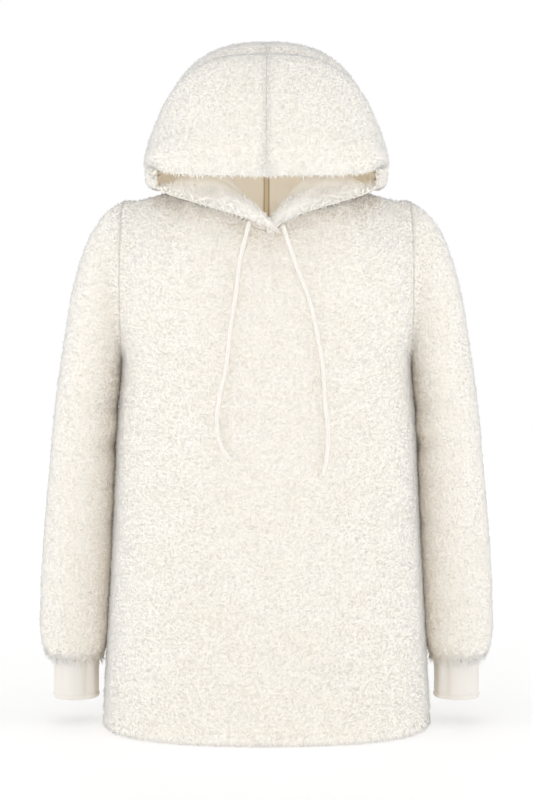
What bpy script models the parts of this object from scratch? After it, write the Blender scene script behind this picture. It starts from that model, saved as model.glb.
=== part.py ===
# Hooded sherpa fleece pullover, filled out and hollow.
# Metres, +Z up, front towards -Y, the wearer's shoulders at z = 0.
# The origin lies midway between the two points where shoulder seam and neck seam meet.

import bpy
import bmesh
import numpy as np

# ---------------------------------------------------------------- driving sizes
GAP = 0.0003                # between two pieces that are sewn together
FLEECE = 0.006              # backing and curled pile together
TURNED_FLEECE = 0.010       # two layers at a turned edge
RIB = 0.0028                # doubled smooth cuff cloth
HEM_DEPTH = 0.017           # turned hem of the body
CHANNEL_DEPTH = 0.027       # turned edge of the hood, which holds the drawcord

BODY_HEM_Z = -0.725
UNDERARM_Z = -0.235
SHOULDER_Z = -0.026         # outer end of the shoulder seam
ARMHOLE_X = 0.192           # both armholes lie in planes across X
ARMHOLE_HALF_DEPTH = 0.060
CENTRE_ROUNDING = 50.0      # degrees a panel rounds over by, up to its top edge
ARM_ROUNDING = 90.0         # the same from ROUNDED_FROM on, as a share of the half width
ROUNDED_FROM = 0.70
OVAL_HOLD = 8               # how closely only the outermost columns follow the armhole
OVAL_SPREAD = 1.5           # how far the armhole's depth spreads into the panel
NECK_HALF_WIDTH = 0.095
NECK_FRONT = (-0.112, -0.071)   # y and z of the neck seam at centre front
NECK_BACK = (0.078, -0.040)     # y and z at centre back
NECK_SLOPE = 0.42           # share of the front's drop that is even, the rest is the V

PANEL_COLUMNS = 24
SHOULDER_COLUMNS = 6        # columns of a panel that end on each shoulder seam
NECK_STEPS = PANEL_COLUMNS // 2 - SHOULDER_COLUMNS
LOWER_ROWS = 12
UPPER_ROWS = 10
SLEEVE_COLUMNS = 24
SLEEVE_ROWS = 22
HOOD_ROWS = 24
HOOD_TOP_COLUMNS = 12
HOOD_LOW_COLUMNS = 12

CUFF_TOP_Z = -0.638
CUFF_END_Z = -0.691
CUFF_CENTRE = (0.256, 0.008)

CORD_DIAMETER = 0.0058
CORD_SPACING = 2.4          # diameters between the points of a cord
TAPE_WIDTH = 0.008
TAPE_THICKNESS = 0.0009
TAPE_LIFT = 0.0004
TAPE_FIRST_ROW = 5          # row of the hood where the tape leaves the turned edge
TAPE_END = 0.8              # how far it runs over the last step to the neck seam

# Level sections of the body below the armholes.
BODY_COLUMNS = ("z", "half_width", "front", "back", "squareness")
BODY_SECTIONS = (
    (-0.725, 0.218, 0.150, 0.144, 2.35),
    (-0.625, 0.213, 0.147, 0.140, 2.35),
    (-0.525, 0.208, 0.142, 0.134, 2.35),
    (-0.425, 0.203, 0.136, 0.128, 2.40),
    (-0.330, 0.199, 0.130, 0.123, 2.40),
    (-0.285, 0.196, 0.127, 0.120, 2.40),
    (-0.235, 0.192, 0.124, 0.117, 2.40),
)

# Soft upright folds of the body: centre, half width and depth of the trough,
# and the heights between which it runs. side is -1 in front, +1 behind.
FOLD_COLUMNS = ("side", "x", "half_width", "depth", "low_z", "high_z")
BODY_FOLDS = (
    (-1, -0.138, 0.028, 0.0060, -0.560, -0.190),
    (-1, 0.142, 0.026, 0.0050, -0.640, -0.210),
    (-1, -0.060, 0.034, 0.0030, -0.760, -0.400),
    (-1, 0.052, 0.030, 0.0034, -0.760, -0.470),
    (1, -0.120, 0.030, 0.0055, -0.600, -0.180),
    (1, 0.126, 0.030, 0.0060, -0.560, -0.200),
    (1, 0.010, 0.036, 0.0035, -0.760, -0.380),
)

# Sections of a sleeve from the armhole to the cuff, for the side at +X.
SLEEVE_NAMES = ("run", "outer_x", "outer_z", "inner_x", "inner_z", "half_depth", "centre_y")
SLEEVE_SECTIONS = (
    (0.00, 0.1920, -0.0260, 0.1920, -0.2350, 0.060, 0.000),
    (0.04, 0.2140, -0.0350, 0.1930, -0.2380, 0.064, 0.000),
    (0.08, 0.2310, -0.0540, 0.1942, -0.2410, 0.068, 0.001),
    (0.13, 0.2450, -0.0820, 0.1956, -0.2450, 0.070, 0.002),
    (0.18, 0.2560, -0.1150, 0.1962, -0.2500, 0.071, 0.003),
    (0.24, 0.2650, -0.1520, 0.1967, -0.2570, 0.071, 0.004),
    (0.31, 0.2720, -0.1950, 0.1975, -0.2680, 0.070, 0.005),
    (0.38, 0.2790, -0.2400, 0.1987, -0.2850, 0.068, 0.006),
    (0.46, 0.2860, -0.2900, 0.2007, -0.3150, 0.065, 0.007),
    (0.58, 0.2940, -0.3700, 0.2038, -0.3800, 0.061, 0.008),
    (0.70, 0.3010, -0.4500, 0.2070, -0.4530, 0.058, 0.008),
    (0.81, 0.3060, -0.5200, 0.2104, -0.5205, 0.055, 0.008),
    (0.89, 0.3080, -0.5750, 0.2132, -0.5750, 0.053, 0.008),
    (0.94, 0.3065, -0.6080, 0.2155, -0.6080, 0.051, 0.008),
    (0.97, 0.3030, -0.6240, 0.2195, -0.6240, 0.047, 0.008),
    (0.99, 0.2975, -0.6330, 0.2235, -0.6330, 0.041, 0.008),
    (1.00, 0.2890, -0.6380, 0.2230, -0.6380, 0.033, 0.008),
)

# Soft folds across a sleeve where it bends: height, half height, depth, and how far
# each one turns round the sleeve from its outer side (degrees), with its half spread.
SLEEVE_FOLD_NAMES = ("z", "half_height", "depth", "turn", "spread")
SLEEVE_FOLDS = (
    (-0.300, 0.016, 0.0045, 128, 55),
    (-0.352, 0.015, 0.0050, 150, 60),
    (-0.404, 0.017, 0.0036, 120, 50),
    (-0.560, 0.018, 0.0040, 70, 60),
)

# Loops of the hood, from its free edge round the face to the neck seam: the points at centre
# top and at the side, and how round the loop is between them.
HOOD_NAMES = ("run", "top_y", "top_z", "side_x", "side_y", "side_z", "round_x", "round_y", "round_z")
HOOD_LOOPS = (
    (0.000, -0.155, -0.009, 0.1470, -0.052, 0.014, 0.50, 0.50, 0.80),
    (0.044, -0.159, 0.018, 0.1590, -0.036, 0.016, 0.60, 0.60, 0.70),
    (0.120, -0.149, 0.064, 0.1630, -0.006, 0.018, 0.72, 0.76, 0.78),
    (0.210, -0.128, 0.115, 0.1620, 0.022, 0.020, 0.76, 0.84, 0.84),
    (0.300, -0.092, 0.157, 0.1580, 0.040, 0.021, 0.70, 0.90, 1.00),
    (0.353, -0.060, 0.164, 0.1550, 0.047, 0.021, 0.74, 0.90, 0.94),
    (0.436, -0.015, 0.188, 0.1505, 0.054, 0.021, 0.80, 0.86, 0.80),
    (0.520, 0.035, 0.199, 0.1450, 0.058, 0.021, 0.76, 0.84, 0.76),
    (0.624, 0.092, 0.170, 0.1350, 0.056, 0.021, 0.80, 0.88, 0.80),
    (0.743, 0.126, 0.105, 0.1220, 0.047, 0.021, 0.88, 0.92, 0.88),
    (0.840, 0.127, 0.045, 0.1090, 0.031, 0.019, 0.94, 0.96, 0.94),
    (0.922, 0.105, 0.000, 0.0990, 0.013, 0.013, 0.98, 1.00, 0.98),
    (1.000, 0.078, -0.040, 0.0950, 0.000, 0.000, 1.00, 1.00, 1.00),
)
# From the side (turn 0) down to the throat (turn 90) the cloth arches over from its free edge
# to the neck seam: the edge's place, the arch's crest and the channel's share of the arch.
THROAT_NAMES = ("turn", "edge_x", "edge_y", "edge_z", "crest_z", "channel")
THROAT_ARCHES = (
    (0.0, 0.1470, -0.0520, 0.0140, 0.0190, 0.044),
    (7.5, 0.1475, -0.0550, 0.0030, 0.0040, 0.080),
    (15.0, 0.1455, -0.0585, -0.0075, -0.0030, 0.110),
    (22.5, 0.1400, -0.0640, -0.0160, -0.0040, 0.140),
    (30.0, 0.1300, -0.0725, -0.0225, -0.0020, 0.170),
    (45.0, 0.1020, -0.0910, -0.0330, 0.0090, 0.220),
    (60.0, 0.0680, -0.1080, -0.0445, 0.0050, 0.260),
    (67.5, 0.0505, -0.1152, -0.0508, -0.0100, 0.280),
    (75.0, 0.0330, -0.1225, -0.0585, -0.0290, 0.300),
    (82.5, 0.0160, -0.1285, -0.0690, -0.0495, 0.350),
    (90.0, 0.0000, -0.1330, -0.0815, -0.0675, 0.420),
)
THROAT_FADE = 3.0           # how soon the arches leave the shape of the hood's side
NORMAL_PASSES = 4           # how often the wall's directions are evened out round the loops
THROAT_THINNING = 0.45      # the wall is pressed thinner down to the throat
CORNER_THINNING = 0.55      # and where the edge turns the corner
CORNER_AT = 2.5             # columns below the side
CORNER_SPREAD = 2.2
HOOD_SEAM_LENGTH = 0.614    # along the centre seam, brim to neck seam
HOOD_MIDDLE = np.array([0.0, 0.0, 0.07])    # a point inside the hood
CROSS_REACH = 0.016         # the left edge crosses over the right one at the throat
CROSS_LIFT = 0.013
CROSS_RISE = 0.008
CROSS_RUN = 0.12            # share of the loops that the crossing takes
CROSS_DELAY = 0.50          # how far the edge has risen before it reaches across
CROSS_TURN = 28.0           # degrees of the loop that the crossing takes

# Drawcord routes, each from the hood's turned edge down the front to its free end.
CORD_ROUTES = {
    "drawcord_left": (
        (-0.0208, -0.1350, -0.0633),
        (-0.0247, -0.1330, -0.0776),
        (-0.0336, -0.1268, -0.1113),
        (-0.0387, -0.1275, -0.1543),
        (-0.0458, -0.1273, -0.1994),
        (-0.0514, -0.1263, -0.2494),
        (-0.0596, -0.1278, -0.2875),
        (-0.0627, -0.1296, -0.3191),
        (-0.0576, -0.1321, -0.3469),
        (-0.0449, -0.1346, -0.3671),
    ),
    "drawcord_right": (
        (0.0200, -0.1310, -0.0675),
        (0.0242, -0.1300, -0.0800),
        (0.0374, -0.1265, -0.1176),
        (0.0545, -0.1282, -0.1632),
        (0.0647, -0.1262, -0.2088),
        (0.0718, -0.1236, -0.2493),
        (0.0742, -0.1259, -0.2925),
        (0.0780, -0.1278, -0.3306),
        (0.0766, -0.1299, -0.3597),
        (0.0715, -0.1327, -0.3874),
    ),
}


# ---------------------------------------------------------------- tables and curves
def read_table(names, rows):
    values = np.array(rows, dtype=float)
    return {name: values[:, index] for index, name in enumerate(names)}


def smooth_at(keys, values, at):
    # cubic curve through the rows of a table, with its slopes from the neighbouring rows
    slopes = np.gradient(values, keys)
    at = np.clip(np.asarray(at, dtype=float), keys[0], keys[-1])
    index = np.clip(np.searchsorted(keys, at, side="right") - 1, 0, len(keys) - 2)
    span = keys[index + 1] - keys[index]
    t = (at - keys[index]) / span
    return ((2 * t**3 - 3 * t**2 + 1) * values[index]
            + (t**3 - 2 * t**2 + t) * span * slopes[index]
            + (3 * t**2 - 2 * t**3) * values[index + 1]
            + (t**3 - t**2) * span * slopes[index + 1])


def ease(t):
    t = np.clip(t, 0.0, 1.0)
    return t * t * (3.0 - 2.0 * t)


def unit(vectors):
    length = np.linalg.norm(vectors, axis=-1, keepdims=True)
    return vectors / np.maximum(length, 1e-12)


def grid_normals(grid, wraps):
    # across the columns times along the rows
    if wraps:
        across = np.roll(grid, -1, axis=1) - np.roll(grid, 1, axis=1)
    else:
        across = np.gradient(grid, axis=1)
    along = np.gradient(grid, axis=0)
    return unit(np.cross(across, along))


# ---------------------------------------------------------------- objects
def make_material(name, colour, roughness):
    material = bpy.data.materials.new(name)
    material.use_nodes = True
    shader = material.node_tree.nodes["Principled BSDF"]
    shader.inputs["Base Color"].default_value = (*colour, 1.0)
    shader.inputs["Roughness"].default_value = roughness
    shader.inputs["Metallic"].default_value = 0.0
    return material


def add_object(name, data, material):
    thing = bpy.data.objects.new(name, data)
    data.materials.append(material)
    bpy.data.collections["fleece_pullover"].objects.link(thing)
    return thing


def wall_solid(name, outer, inner, wraps, material):
    # a closed wall between two grids of the same size, with its open edges bridged
    rows, columns = outer.shape[:2]
    mesh = bmesh.new()
    skins = [[[mesh.verts.new(point) for point in row] for row in grid]
             for grid in (outer, inner)]
    steps = columns if wraps else columns - 1
    for row in range(rows - 1):
        for column in range(steps):
            nxt = (column + 1) % columns
            for skin in skins:
                mesh.faces.new((skin[row][column], skin[row][nxt],
                                skin[row + 1][nxt], skin[row + 1][column]))
    for row in (0, rows - 1):
        for column in range(steps):
            nxt = (column + 1) % columns
            mesh.faces.new((skins[0][row][column], skins[0][row][nxt],
                            skins[1][row][nxt], skins[1][row][column]))
    if not wraps:
        for column in (0, columns - 1):
            for row in range(rows - 1):
                mesh.faces.new((skins[0][row][column], skins[0][row + 1][column],
                                skins[1][row + 1][column], skins[1][row][column]))
    bmesh.ops.recalc_face_normals(mesh, faces=mesh.faces)
    data = bpy.data.meshes.new(name)
    mesh.to_mesh(data)
    mesh.free()
    data.shade_smooth()
    data.set_sharp_from_angle(angle=np.radians(50.0))
    return add_object(name, data, material)


# ---------------------------------------------------------------- neck seam
def neck_corner(step, side):
    # quarter of the neck seam, from the shoulder (step 0) to the centre (step NECK_STEPS)
    turn = 0.5 * np.pi * step / NECK_STEPS
    depth, drop = NECK_FRONT if side < 0 else NECK_BACK
    reach = np.sin(turn)
    # a soft V in front, round behind
    fall = NECK_SLOPE * reach + (1.0 - NECK_SLOPE) * reach**12 if side < 0 else reach**1.3
    x = NECK_HALF_WIDTH * np.cos(turn)**0.9
    return np.stack([x, depth * reach**0.8, drop * fall], axis=-1)


def neck_seam(fraction, side):
    # straight between the same corners for every piece that meets at the seam
    corners = neck_corner(np.arange(NECK_STEPS + 1, dtype=float), side)
    at = np.asarray(fraction, dtype=float) * NECK_STEPS
    index = np.clip(np.floor(at).astype(int), 0, NECK_STEPS - 1)
    share = (at - index)[..., None]
    return corners[index] * (1.0 - share) + corners[index + 1] * share


def neck_directions(points):
    # into the wall, and across the seam from body to hood
    outward = points.copy()
    outward[..., 2] = 0.0
    outward = unit(outward)
    up = np.zeros_like(points)
    up[..., 2] = 1.0
    return unit(-outward - up), unit(up - outward)


# ---------------------------------------------------------------- body panels
def body_outer(side):
    # rows run from the hem to the shoulder and neck seams, columns from -X to +X
    table = read_table(BODY_COLUMNS, BODY_SECTIONS)
    turn = np.pi * np.arange(PANEL_COLUMNS + 1) / PANEL_COLUMNS
    hem_rows = BODY_HEM_Z + HEM_DEPTH * np.array([0.0, 0.94, 1.35])
    heights = np.concatenate([hem_rows, np.linspace(hem_rows[-1], UNDERARM_Z, LOWER_ROWS)[1:]])

    def level(z):
        width = smooth_at(table["z"], table["half_width"], z)
        depth = smooth_at(table["z"], table["front" if side < 0 else "back"], z)
        power = 2.0 / smooth_at(table["z"], table["squareness"], z)
        x = -width * np.sign(np.cos(turn)) * np.abs(np.cos(turn))**power
        y = side * depth * np.abs(np.sin(turn))**power
        return np.stack([x, y, np.full_like(x, z)], axis=-1)

    lower = np.stack([level(z) for z in heights])
    return np.concatenate([lower, upper_rows(lower[-1], side)[1:]])


def top_edge(side):
    # shoulder seam, neck seam, shoulder seam
    shoulder = np.array([ARMHOLE_X, 0.0, SHOULDER_Z])
    neck_point = np.array([NECK_HALF_WIDTH, 0.0, 0.0])
    share = np.arange(SHOULDER_COLUMNS)[:, None] / SHOULDER_COLUMNS
    seam = shoulder * (1.0 - share) + neck_point * share
    neck = neck_seam(np.arange(NECK_STEPS + 1) / NECK_STEPS, side)
    half = np.concatenate([seam, neck])
    return np.concatenate([half * np.array([-1.0, 1.0, 1.0]), half[-2::-1]])


def upper_rows(base, side):
    # each column rises from the underarm level and rounds over to its end on the top edge;
    # the outermost columns follow the oval armhole
    top = top_edge(side)
    turn = np.pi * np.arange(PANEL_COLUMNS + 1) / PANEL_COLUMNS
    edge = np.abs(np.cos(turn))
    rounding = CENTRE_ROUNDING + (ARM_ROUNDING - CENTRE_ROUNDING) * ease(edge / ROUNDED_FROM)
    rounding = np.radians(rounding)
    rise = np.linspace(0.0, 1.0, UPPER_ROWS + 1)[:, None]
    middle_z = np.sin(rounding * rise) / np.sin(rounding)
    middle_y = (np.cos(rounding * rise) - np.cos(rounding)) / (1.0 - np.cos(rounding))
    oval_z = 0.5 * (1.0 - np.cos(np.pi * rise))
    share = edge**OVAL_HOLD
    share_z = share * oval_z + (1.0 - share) * middle_z
    x = base[:, 0] + (top[:, 0] - base[:, 0]) * ease(rise)
    y = top[:, 1] + (base[:, 1] - top[:, 1]) * middle_y
    y = y + side * ARMHOLE_HALF_DEPTH * edge**OVAL_SPREAD * np.sin(np.pi * rise)
    z = base[:, 2] + (top[:, 2] - base[:, 2]) * share_z
    return np.stack([x, y, z], axis=-1)


def press_folds(grid, normals, side):
    folds = read_table(FOLD_COLUMNS, BODY_FOLDS)
    moved = grid.copy()
    for index in range(len(folds["x"])):
        if folds["side"][index] != side:
            continue
        across = np.exp(-((grid[..., 0] - folds["x"][index]) / folds["half_width"][index])**2)
        middle = 0.5 * (folds["low_z"][index] + folds["high_z"][index])
        half = 0.5 * (folds["high_z"][index] - folds["low_z"][index])
        along = ease(1.0 - np.abs(grid[..., 2] - middle) / half)
        depth = folds["depth"][index] * across * along
        moved = moved - normals * depth[..., None]
    return moved


def body_panel(name, side, material):
    outer = body_outer(side)
    normals = grid_normals(outer, False)
    if np.mean(normals[2, :, 1]) * side < 0:
        normals = -normals
    outer = press_folds(outer, normals, side)

    thickness = np.where(outer[:, :, 2] < BODY_HEM_Z + HEM_DEPTH, TURNED_FLEECE, FLEECE)
    inward = -normals
    last_lower = LOWER_ROWS + 1
    for column, sign in ((0, -1.0), (PANEL_COLUMNS, 1.0)):
        inward[:last_lower + 1, column] = (-sign, 0.0, 0.0)
        centre = np.array([0.0, 0.0, 0.5 * (SHOULDER_Z + UNDERARM_Z)])
        arm = outer[last_lower:, column].copy()
        arm[:, 0] = 0.0
        inward[last_lower:, column] = unit(centre - arm)
    inward[-1, :] = (0.0, 0.0, -1.0)
    neck = slice(SHOULDER_COLUMNS, PANEL_COLUMNS - SHOULDER_COLUMNS + 1)
    into_wall, across_seam = neck_directions(outer[-1, neck])
    inward[-1, neck] = into_wall
    inward[0, :, 2] = 0.0
    inward = unit(inward)
    inner = outer + inward * thickness[..., None]
    inner[0, :, 2] = BODY_HEM_Z

    # half the seam gap goes on each side of every seam
    for grid in (outer, inner):
        grid[last_lower:, 0, 0] = -ARMHOLE_X + 0.5 * GAP
        grid[last_lower:, -1, 0] = ARMHOLE_X - 0.5 * GAP
        grid[:last_lower + 1, 0, 1] = side * 0.5 * GAP
        grid[:last_lower + 1, -1, 1] = side * 0.5 * GAP
        grid[-1, :SHOULDER_COLUMNS + 1, 1] = side * 0.5 * GAP
        grid[-1, PANEL_COLUMNS - SHOULDER_COLUMNS:, 1] = side * 0.5 * GAP
        grid[-1, neck] -= across_seam * 0.5 * GAP
    return wall_solid(name, outer, inner, False, material)


# ---------------------------------------------------------------- sleeves and cuffs
def sleeve_outer():
    # rings round the arm, for the side at +X; each starts at its outer point and turns forward
    table = read_table(SLEEVE_NAMES, SLEEVE_SECTIONS)
    runs = np.concatenate([np.linspace(0.0, 0.90, SLEEVE_ROWS - 4), [0.94, 0.97, 0.99, 1.0]])
    at = {name: smooth_at(table["run"], table[name], runs)[:, None] for name in SLEEVE_NAMES}
    turn = 2.0 * np.pi * np.arange(SLEEVE_COLUMNS) / SLEEVE_COLUMNS
    middle_x = 0.5 * (at["outer_x"] + at["inner_x"])
    middle_z = 0.5 * (at["outer_z"] + at["inner_z"])
    half_x = 0.5 * (at["outer_x"] - at["inner_x"])
    half_z = 0.5 * (at["outer_z"] - at["inner_z"])
    x = middle_x + half_x * np.cos(turn)
    y = at["centre_y"] - at["half_depth"] * np.sin(turn)
    z = middle_z + half_z * np.cos(turn)
    return np.stack([x, y, z], axis=-1), turn


def press_sleeve_folds(grid, inward, turn):
    folds = read_table(SLEEVE_FOLD_NAMES, SLEEVE_FOLDS)
    moved = grid.copy()
    for index in range(len(folds["z"])):
        away = np.degrees(turn) - folds["turn"][index]
        away = (away + 180.0) % 360.0 - 180.0
        across = np.exp(-(away / folds["spread"][index])**2)
        along = np.exp(-((grid[..., 2] - folds["z"][index]) / folds["half_height"][index])**2)
        moved = moved + inward * (folds["depth"][index] * across * along)[..., None]
    return moved


def sleeve(name, side, material):
    outer, turn = sleeve_outer()
    centre = outer.mean(axis=1, keepdims=True)
    inward = -grid_normals(outer, True)
    if np.mean(np.sum(inward * (centre - outer), axis=-1)) < 0:
        inward = -inward
    outer[2:-4] = press_sleeve_folds(outer[2:-4], inward[2:-4], turn)
    for row in (0, -1):
        inward[row] = unit(centre[row] - outer[row])
    inner = outer + inward * FLEECE
    for grid in (outer, inner):
        grid[0, :, 0] = ARMHOLE_X + 0.5 * GAP
        grid[-1, :, 2] = CUFF_TOP_Z
    scale = np.array([side, 1.0, 1.0])
    return wall_solid(name, outer * scale, inner * scale, True, material)


def cuff(name, side, material):
    # level rings: a slight waist, and a thicker turned edge at the end
    top = CUFF_TOP_Z - GAP
    profile = read_table(("z", "radius", "wall"), (
        (top, 0.0322, RIB),
        (top - 0.007, 0.0312, RIB),
        (top - 0.026, 0.0310, RIB),
        (CUFF_END_Z + 0.008, 0.0316, RIB),
        (CUFF_END_Z + 0.0065, 0.0324, RIB * 1.3),
        (CUFF_END_Z + 0.0015, 0.0324, RIB * 1.3),
        (CUFF_END_Z, 0.0314, RIB * 0.9),
    ))
    turn = 2.0 * np.pi * np.arange(SLEEVE_COLUMNS) / SLEEVE_COLUMNS

    def rings(radius):
        x = side * (CUFF_CENTRE[0] + radius[:, None] * np.cos(turn))
        y = CUFF_CENTRE[1] - radius[:, None] * np.sin(turn)
        z = np.broadcast_to(profile["z"][:, None], x.shape)
        return np.stack([x, y, z], axis=-1)

    return wall_solid(name, rings(profile["radius"]), rings(profile["radius"] - profile["wall"]),
                      True, material)


# ---------------------------------------------------------------- hood
def hood_side(rows, top_columns):
    # from centre top down to the side
    table = read_table(HOOD_NAMES, HOOD_LOOPS)
    at = {name: smooth_at(table["run"], table[name], rows)[:, None] for name in HOOD_NAMES}
    turn = 0.5 * np.pi * np.arange(top_columns + 1) / top_columns
    sine = np.sin(turn)
    cosine = np.abs(np.cos(turn))
    return np.stack([at["side_x"] * sine**at["round_x"],
                     at["side_y"] + (at["top_y"] - at["side_y"]) * cosine**at["round_y"],
                     at["side_z"] + (at["top_z"] - at["side_z"]) * cosine**at["round_z"]], axis=-1)


def throat_arches(rows, share):
    # half ellipses from the free edge to the neck seam, one for each share of the way
    table = read_table(THROAT_NAMES, THROAT_ARCHES)
    at = {name: smooth_at(table["turn"], table[name], 90.0 * share) for name in THROAT_NAMES}
    edge = np.stack([at["edge_x"], at["edge_y"], at["edge_z"]], axis=-1)
    seam = neck_seam(share, -1)
    run = rows[:, None]
    hem = CHANNEL_DEPTH / HOOD_SEAM_LENGTH
    channel = at["channel"][None, :]
    along = np.where(run < hem, channel * run / hem,
                     channel + (1.0 - channel) * (run - hem) / (1.0 - hem))
    angle = np.pi * along[..., None]
    across = 0.5 * (1.0 - np.cos(angle))
    arch = edge * (1.0 - across) + seam * across
    height = at["crest_z"] - 0.5 * (edge[:, 2] + seam[:, 2])
    arch[..., 2] += height * np.sin(angle[..., 0])
    return arch


def hood_outer(rows, top_columns, low_columns):
    # half of the hood at +X; rows run from the free edge to the neck seam,
    # columns from centre top round the side to centre front
    side = hood_side(rows, top_columns)
    share = np.arange(low_columns + 1) / low_columns
    arches = throat_arches(rows, share)
    fade = np.cos(0.5 * np.pi * share)[None, :, None]**THROAT_FADE
    arches = arches + fade * (side[:, -1:] - arches[:, :1])
    return np.concatenate([side, arches[:, 1:]], axis=1)


def hood_rows():
    # close together at the turned edge, even over the rest
    edge = CHANNEL_DEPTH / HOOD_SEAM_LENGTH
    first = np.array([0.0, 0.5 * edge, edge, 1.35 * edge])
    return np.concatenate([first, np.linspace(first[-1], 1.0, HOOD_ROWS - len(first) + 1)[1:]])


def hood_half(name, side, material):
    rows = hood_rows()
    outer = hood_outer(rows, HOOD_TOP_COLUMNS, HOOD_LOW_COLUMNS)
    # the last row is the neck seam, with the corners of the body panels
    back = neck_seam(1.0 - np.arange(HOOD_TOP_COLUMNS + 1) / HOOD_TOP_COLUMNS, 1)
    front = neck_seam(np.arange(1, HOOD_LOW_COLUMNS + 1) / HOOD_LOW_COLUMNS, -1)
    outer[-1] = np.concatenate([back, front])

    inward = -grid_normals(outer, False)
    dome = (slice(HOOD_ROWS // 3, 2 * HOOD_ROWS // 3), slice(0, HOOD_TOP_COLUMNS // 2))
    if np.mean(np.sum(inward[dome] * (HOOD_MIDDLE - outer[dome]), axis=-1)) < 0:
        inward = -inward
    inward[:, 0, 0] = 0.0
    inward[:, -1, 0] = 0.0
    into_wall, across_seam = neck_directions(outer[-1])
    for _ in range(NORMAL_PASSES):
        inward[:, 1:-1] = unit(inward[:, :-2] + inward[:, 1:-1] + inward[:, 2:])
    inward[0] = inward[1]
    inward[-1] = into_wall
    inward = unit(inward)

    columns = outer.shape[1]
    throat = ease((np.arange(columns) - HOOD_TOP_COLUMNS) / HOOD_LOW_COLUMNS)
    thickness = np.where(rows < 1.1 * CHANNEL_DEPTH / HOOD_SEAM_LENGTH, TURNED_FLEECE, FLEECE)
    corner = np.exp(-((np.arange(columns) - HOOD_TOP_COLUMNS - CORNER_AT) / CORNER_SPREAD)**2)
    thickness = thickness[:, None] * (1.0 - THROAT_THINNING * throat - CORNER_THINNING * corner)
    inner = outer + inward * thickness[..., None]

    # at the throat the edge of the half at -X passes over the other one
    crossing = CROSS_TURN / 90.0 * HOOD_LOW_COLUMNS
    near_throat = ease((np.arange(columns) - (columns - 1 - crossing)) / crossing)
    near_edge = ease(1.0 - rows / CROSS_RUN)[:, None]
    lift = 1.0 - (1.0 - near_edge)**2
    reach = np.clip((near_edge - CROSS_DELAY) / (1.0 - CROSS_DELAY), 0.0, 1.0)**1.5
    for grid in (outer, inner):
        grid[-1] += across_seam * 0.5 * GAP
        grid[:, 0, 0] = 0.5 * GAP
        grid[:, -1, 0] = 0.5 * GAP
        if side < 0:
            grid[..., 0] -= near_throat**2 * reach * CROSS_REACH
            grid[..., 1] -= near_throat * lift * CROSS_LIFT
            grid[..., 2] += near_throat * 4.0 * lift * (1.0 - lift) * CROSS_RISE
    scale = np.array([side, 1.0, 1.0])
    return wall_solid(name, outer * scale, inner * scale, False, material), inner


def seam_tape(name, inner, material):
    # a flat tape along the inside of the hood's centre seam, from the turned edge to the nape
    line = inner[TAPE_FIRST_ROW:, 0].copy()
    line[:, 0] = 0.0
    line[-1] = TAPE_END * line[-1] + (1.0 - TAPE_END) * line[-2]
    along = unit(np.gradient(line, axis=0))
    inward = np.cross(np.array([1.0, 0.0, 0.0]), along)
    if np.mean(np.sum(inward * (HOOD_MIDDLE - line), axis=-1)) < 0:
        inward = -inward
    offsets = np.linspace(-0.5, 0.5, 3) * TAPE_WIDTH
    across = np.stack([offsets, np.zeros(3), np.zeros(3)], axis=-1)
    near = line[:, None, :] + inward[:, None, :] * TAPE_LIFT + across
    far = near + inward[:, None, :] * TAPE_THICKNESS
    return wall_solid(name, far, near, False, material)


# ---------------------------------------------------------------- drawcords
def smooth_route(points):
    # even steps along a smooth curve through the route's own points
    points = np.array(points, dtype=float)
    knots = np.concatenate([[0.0], np.cumsum(np.linalg.norm(np.diff(points, axis=0), axis=1))])
    fine = np.linspace(0.0, knots[-1], 600)
    curve = np.stack([smooth_at(knots, points[:, axis], fine) for axis in range(3)], axis=-1)
    run = np.concatenate([[0.0], np.cumsum(np.linalg.norm(np.diff(curve, axis=0), axis=1))])
    count = int(round(run[-1] / (CORD_SPACING * CORD_DIAMETER))) + 1
    even = np.linspace(0.0, run[-1], count)
    return np.stack([np.interp(even, run, curve[:, axis]) for axis in range(3)], axis=-1)


def drawcord(name, material):
    route = smooth_route(CORD_ROUTES[name])
    data = bpy.data.curves.new(name, "CURVE")
    data.dimensions = "3D"
    data.bevel_depth = 0.5 * CORD_DIAMETER
    data.bevel_resolution = 2
    data.use_fill_caps = True
    spline = data.splines.new("POLY")
    spline.points.add(len(route) - 1)
    for point, place in zip(spline.points, route):
        point.co = (*place, 1.0)
    return add_object(name, data, material)


# ---------------------------------------------------------------- the garment
def build():
    for thing in list(bpy.data.objects):
        bpy.data.objects.remove(thing, do_unlink=True)
    collection = bpy.data.collections.new("fleece_pullover")
    bpy.context.scene.collection.children.link(collection)

    fleece = make_material("sherpa_fleece", (0.88, 0.84, 0.76), 0.95)
    smooth_cloth = make_material("cuff_cloth", (0.86, 0.81, 0.73), 0.85)
    tape_cloth = make_material("seam_tape", (0.62, 0.53, 0.40), 0.85)
    cord_cloth = make_material("drawcord", (0.92, 0.89, 0.82), 0.80)

    body_panel("front_body", -1, fleece)
    body_panel("back_body", 1, fleece)
    for label, side in (("left", -1), ("right", 1)):
        sleeve(f"sleeve_{label}", side, fleece)
        cuff(f"cuff_{label}", side, smooth_cloth)
        hood, hood_inner = hood_half(f"hood_{label}", side, fleece)
        drawcord(f"drawcord_{label}", cord_cloth)
    seam_tape("hood_seam_tape", hood_inner, tape_cloth)


build()
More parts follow.
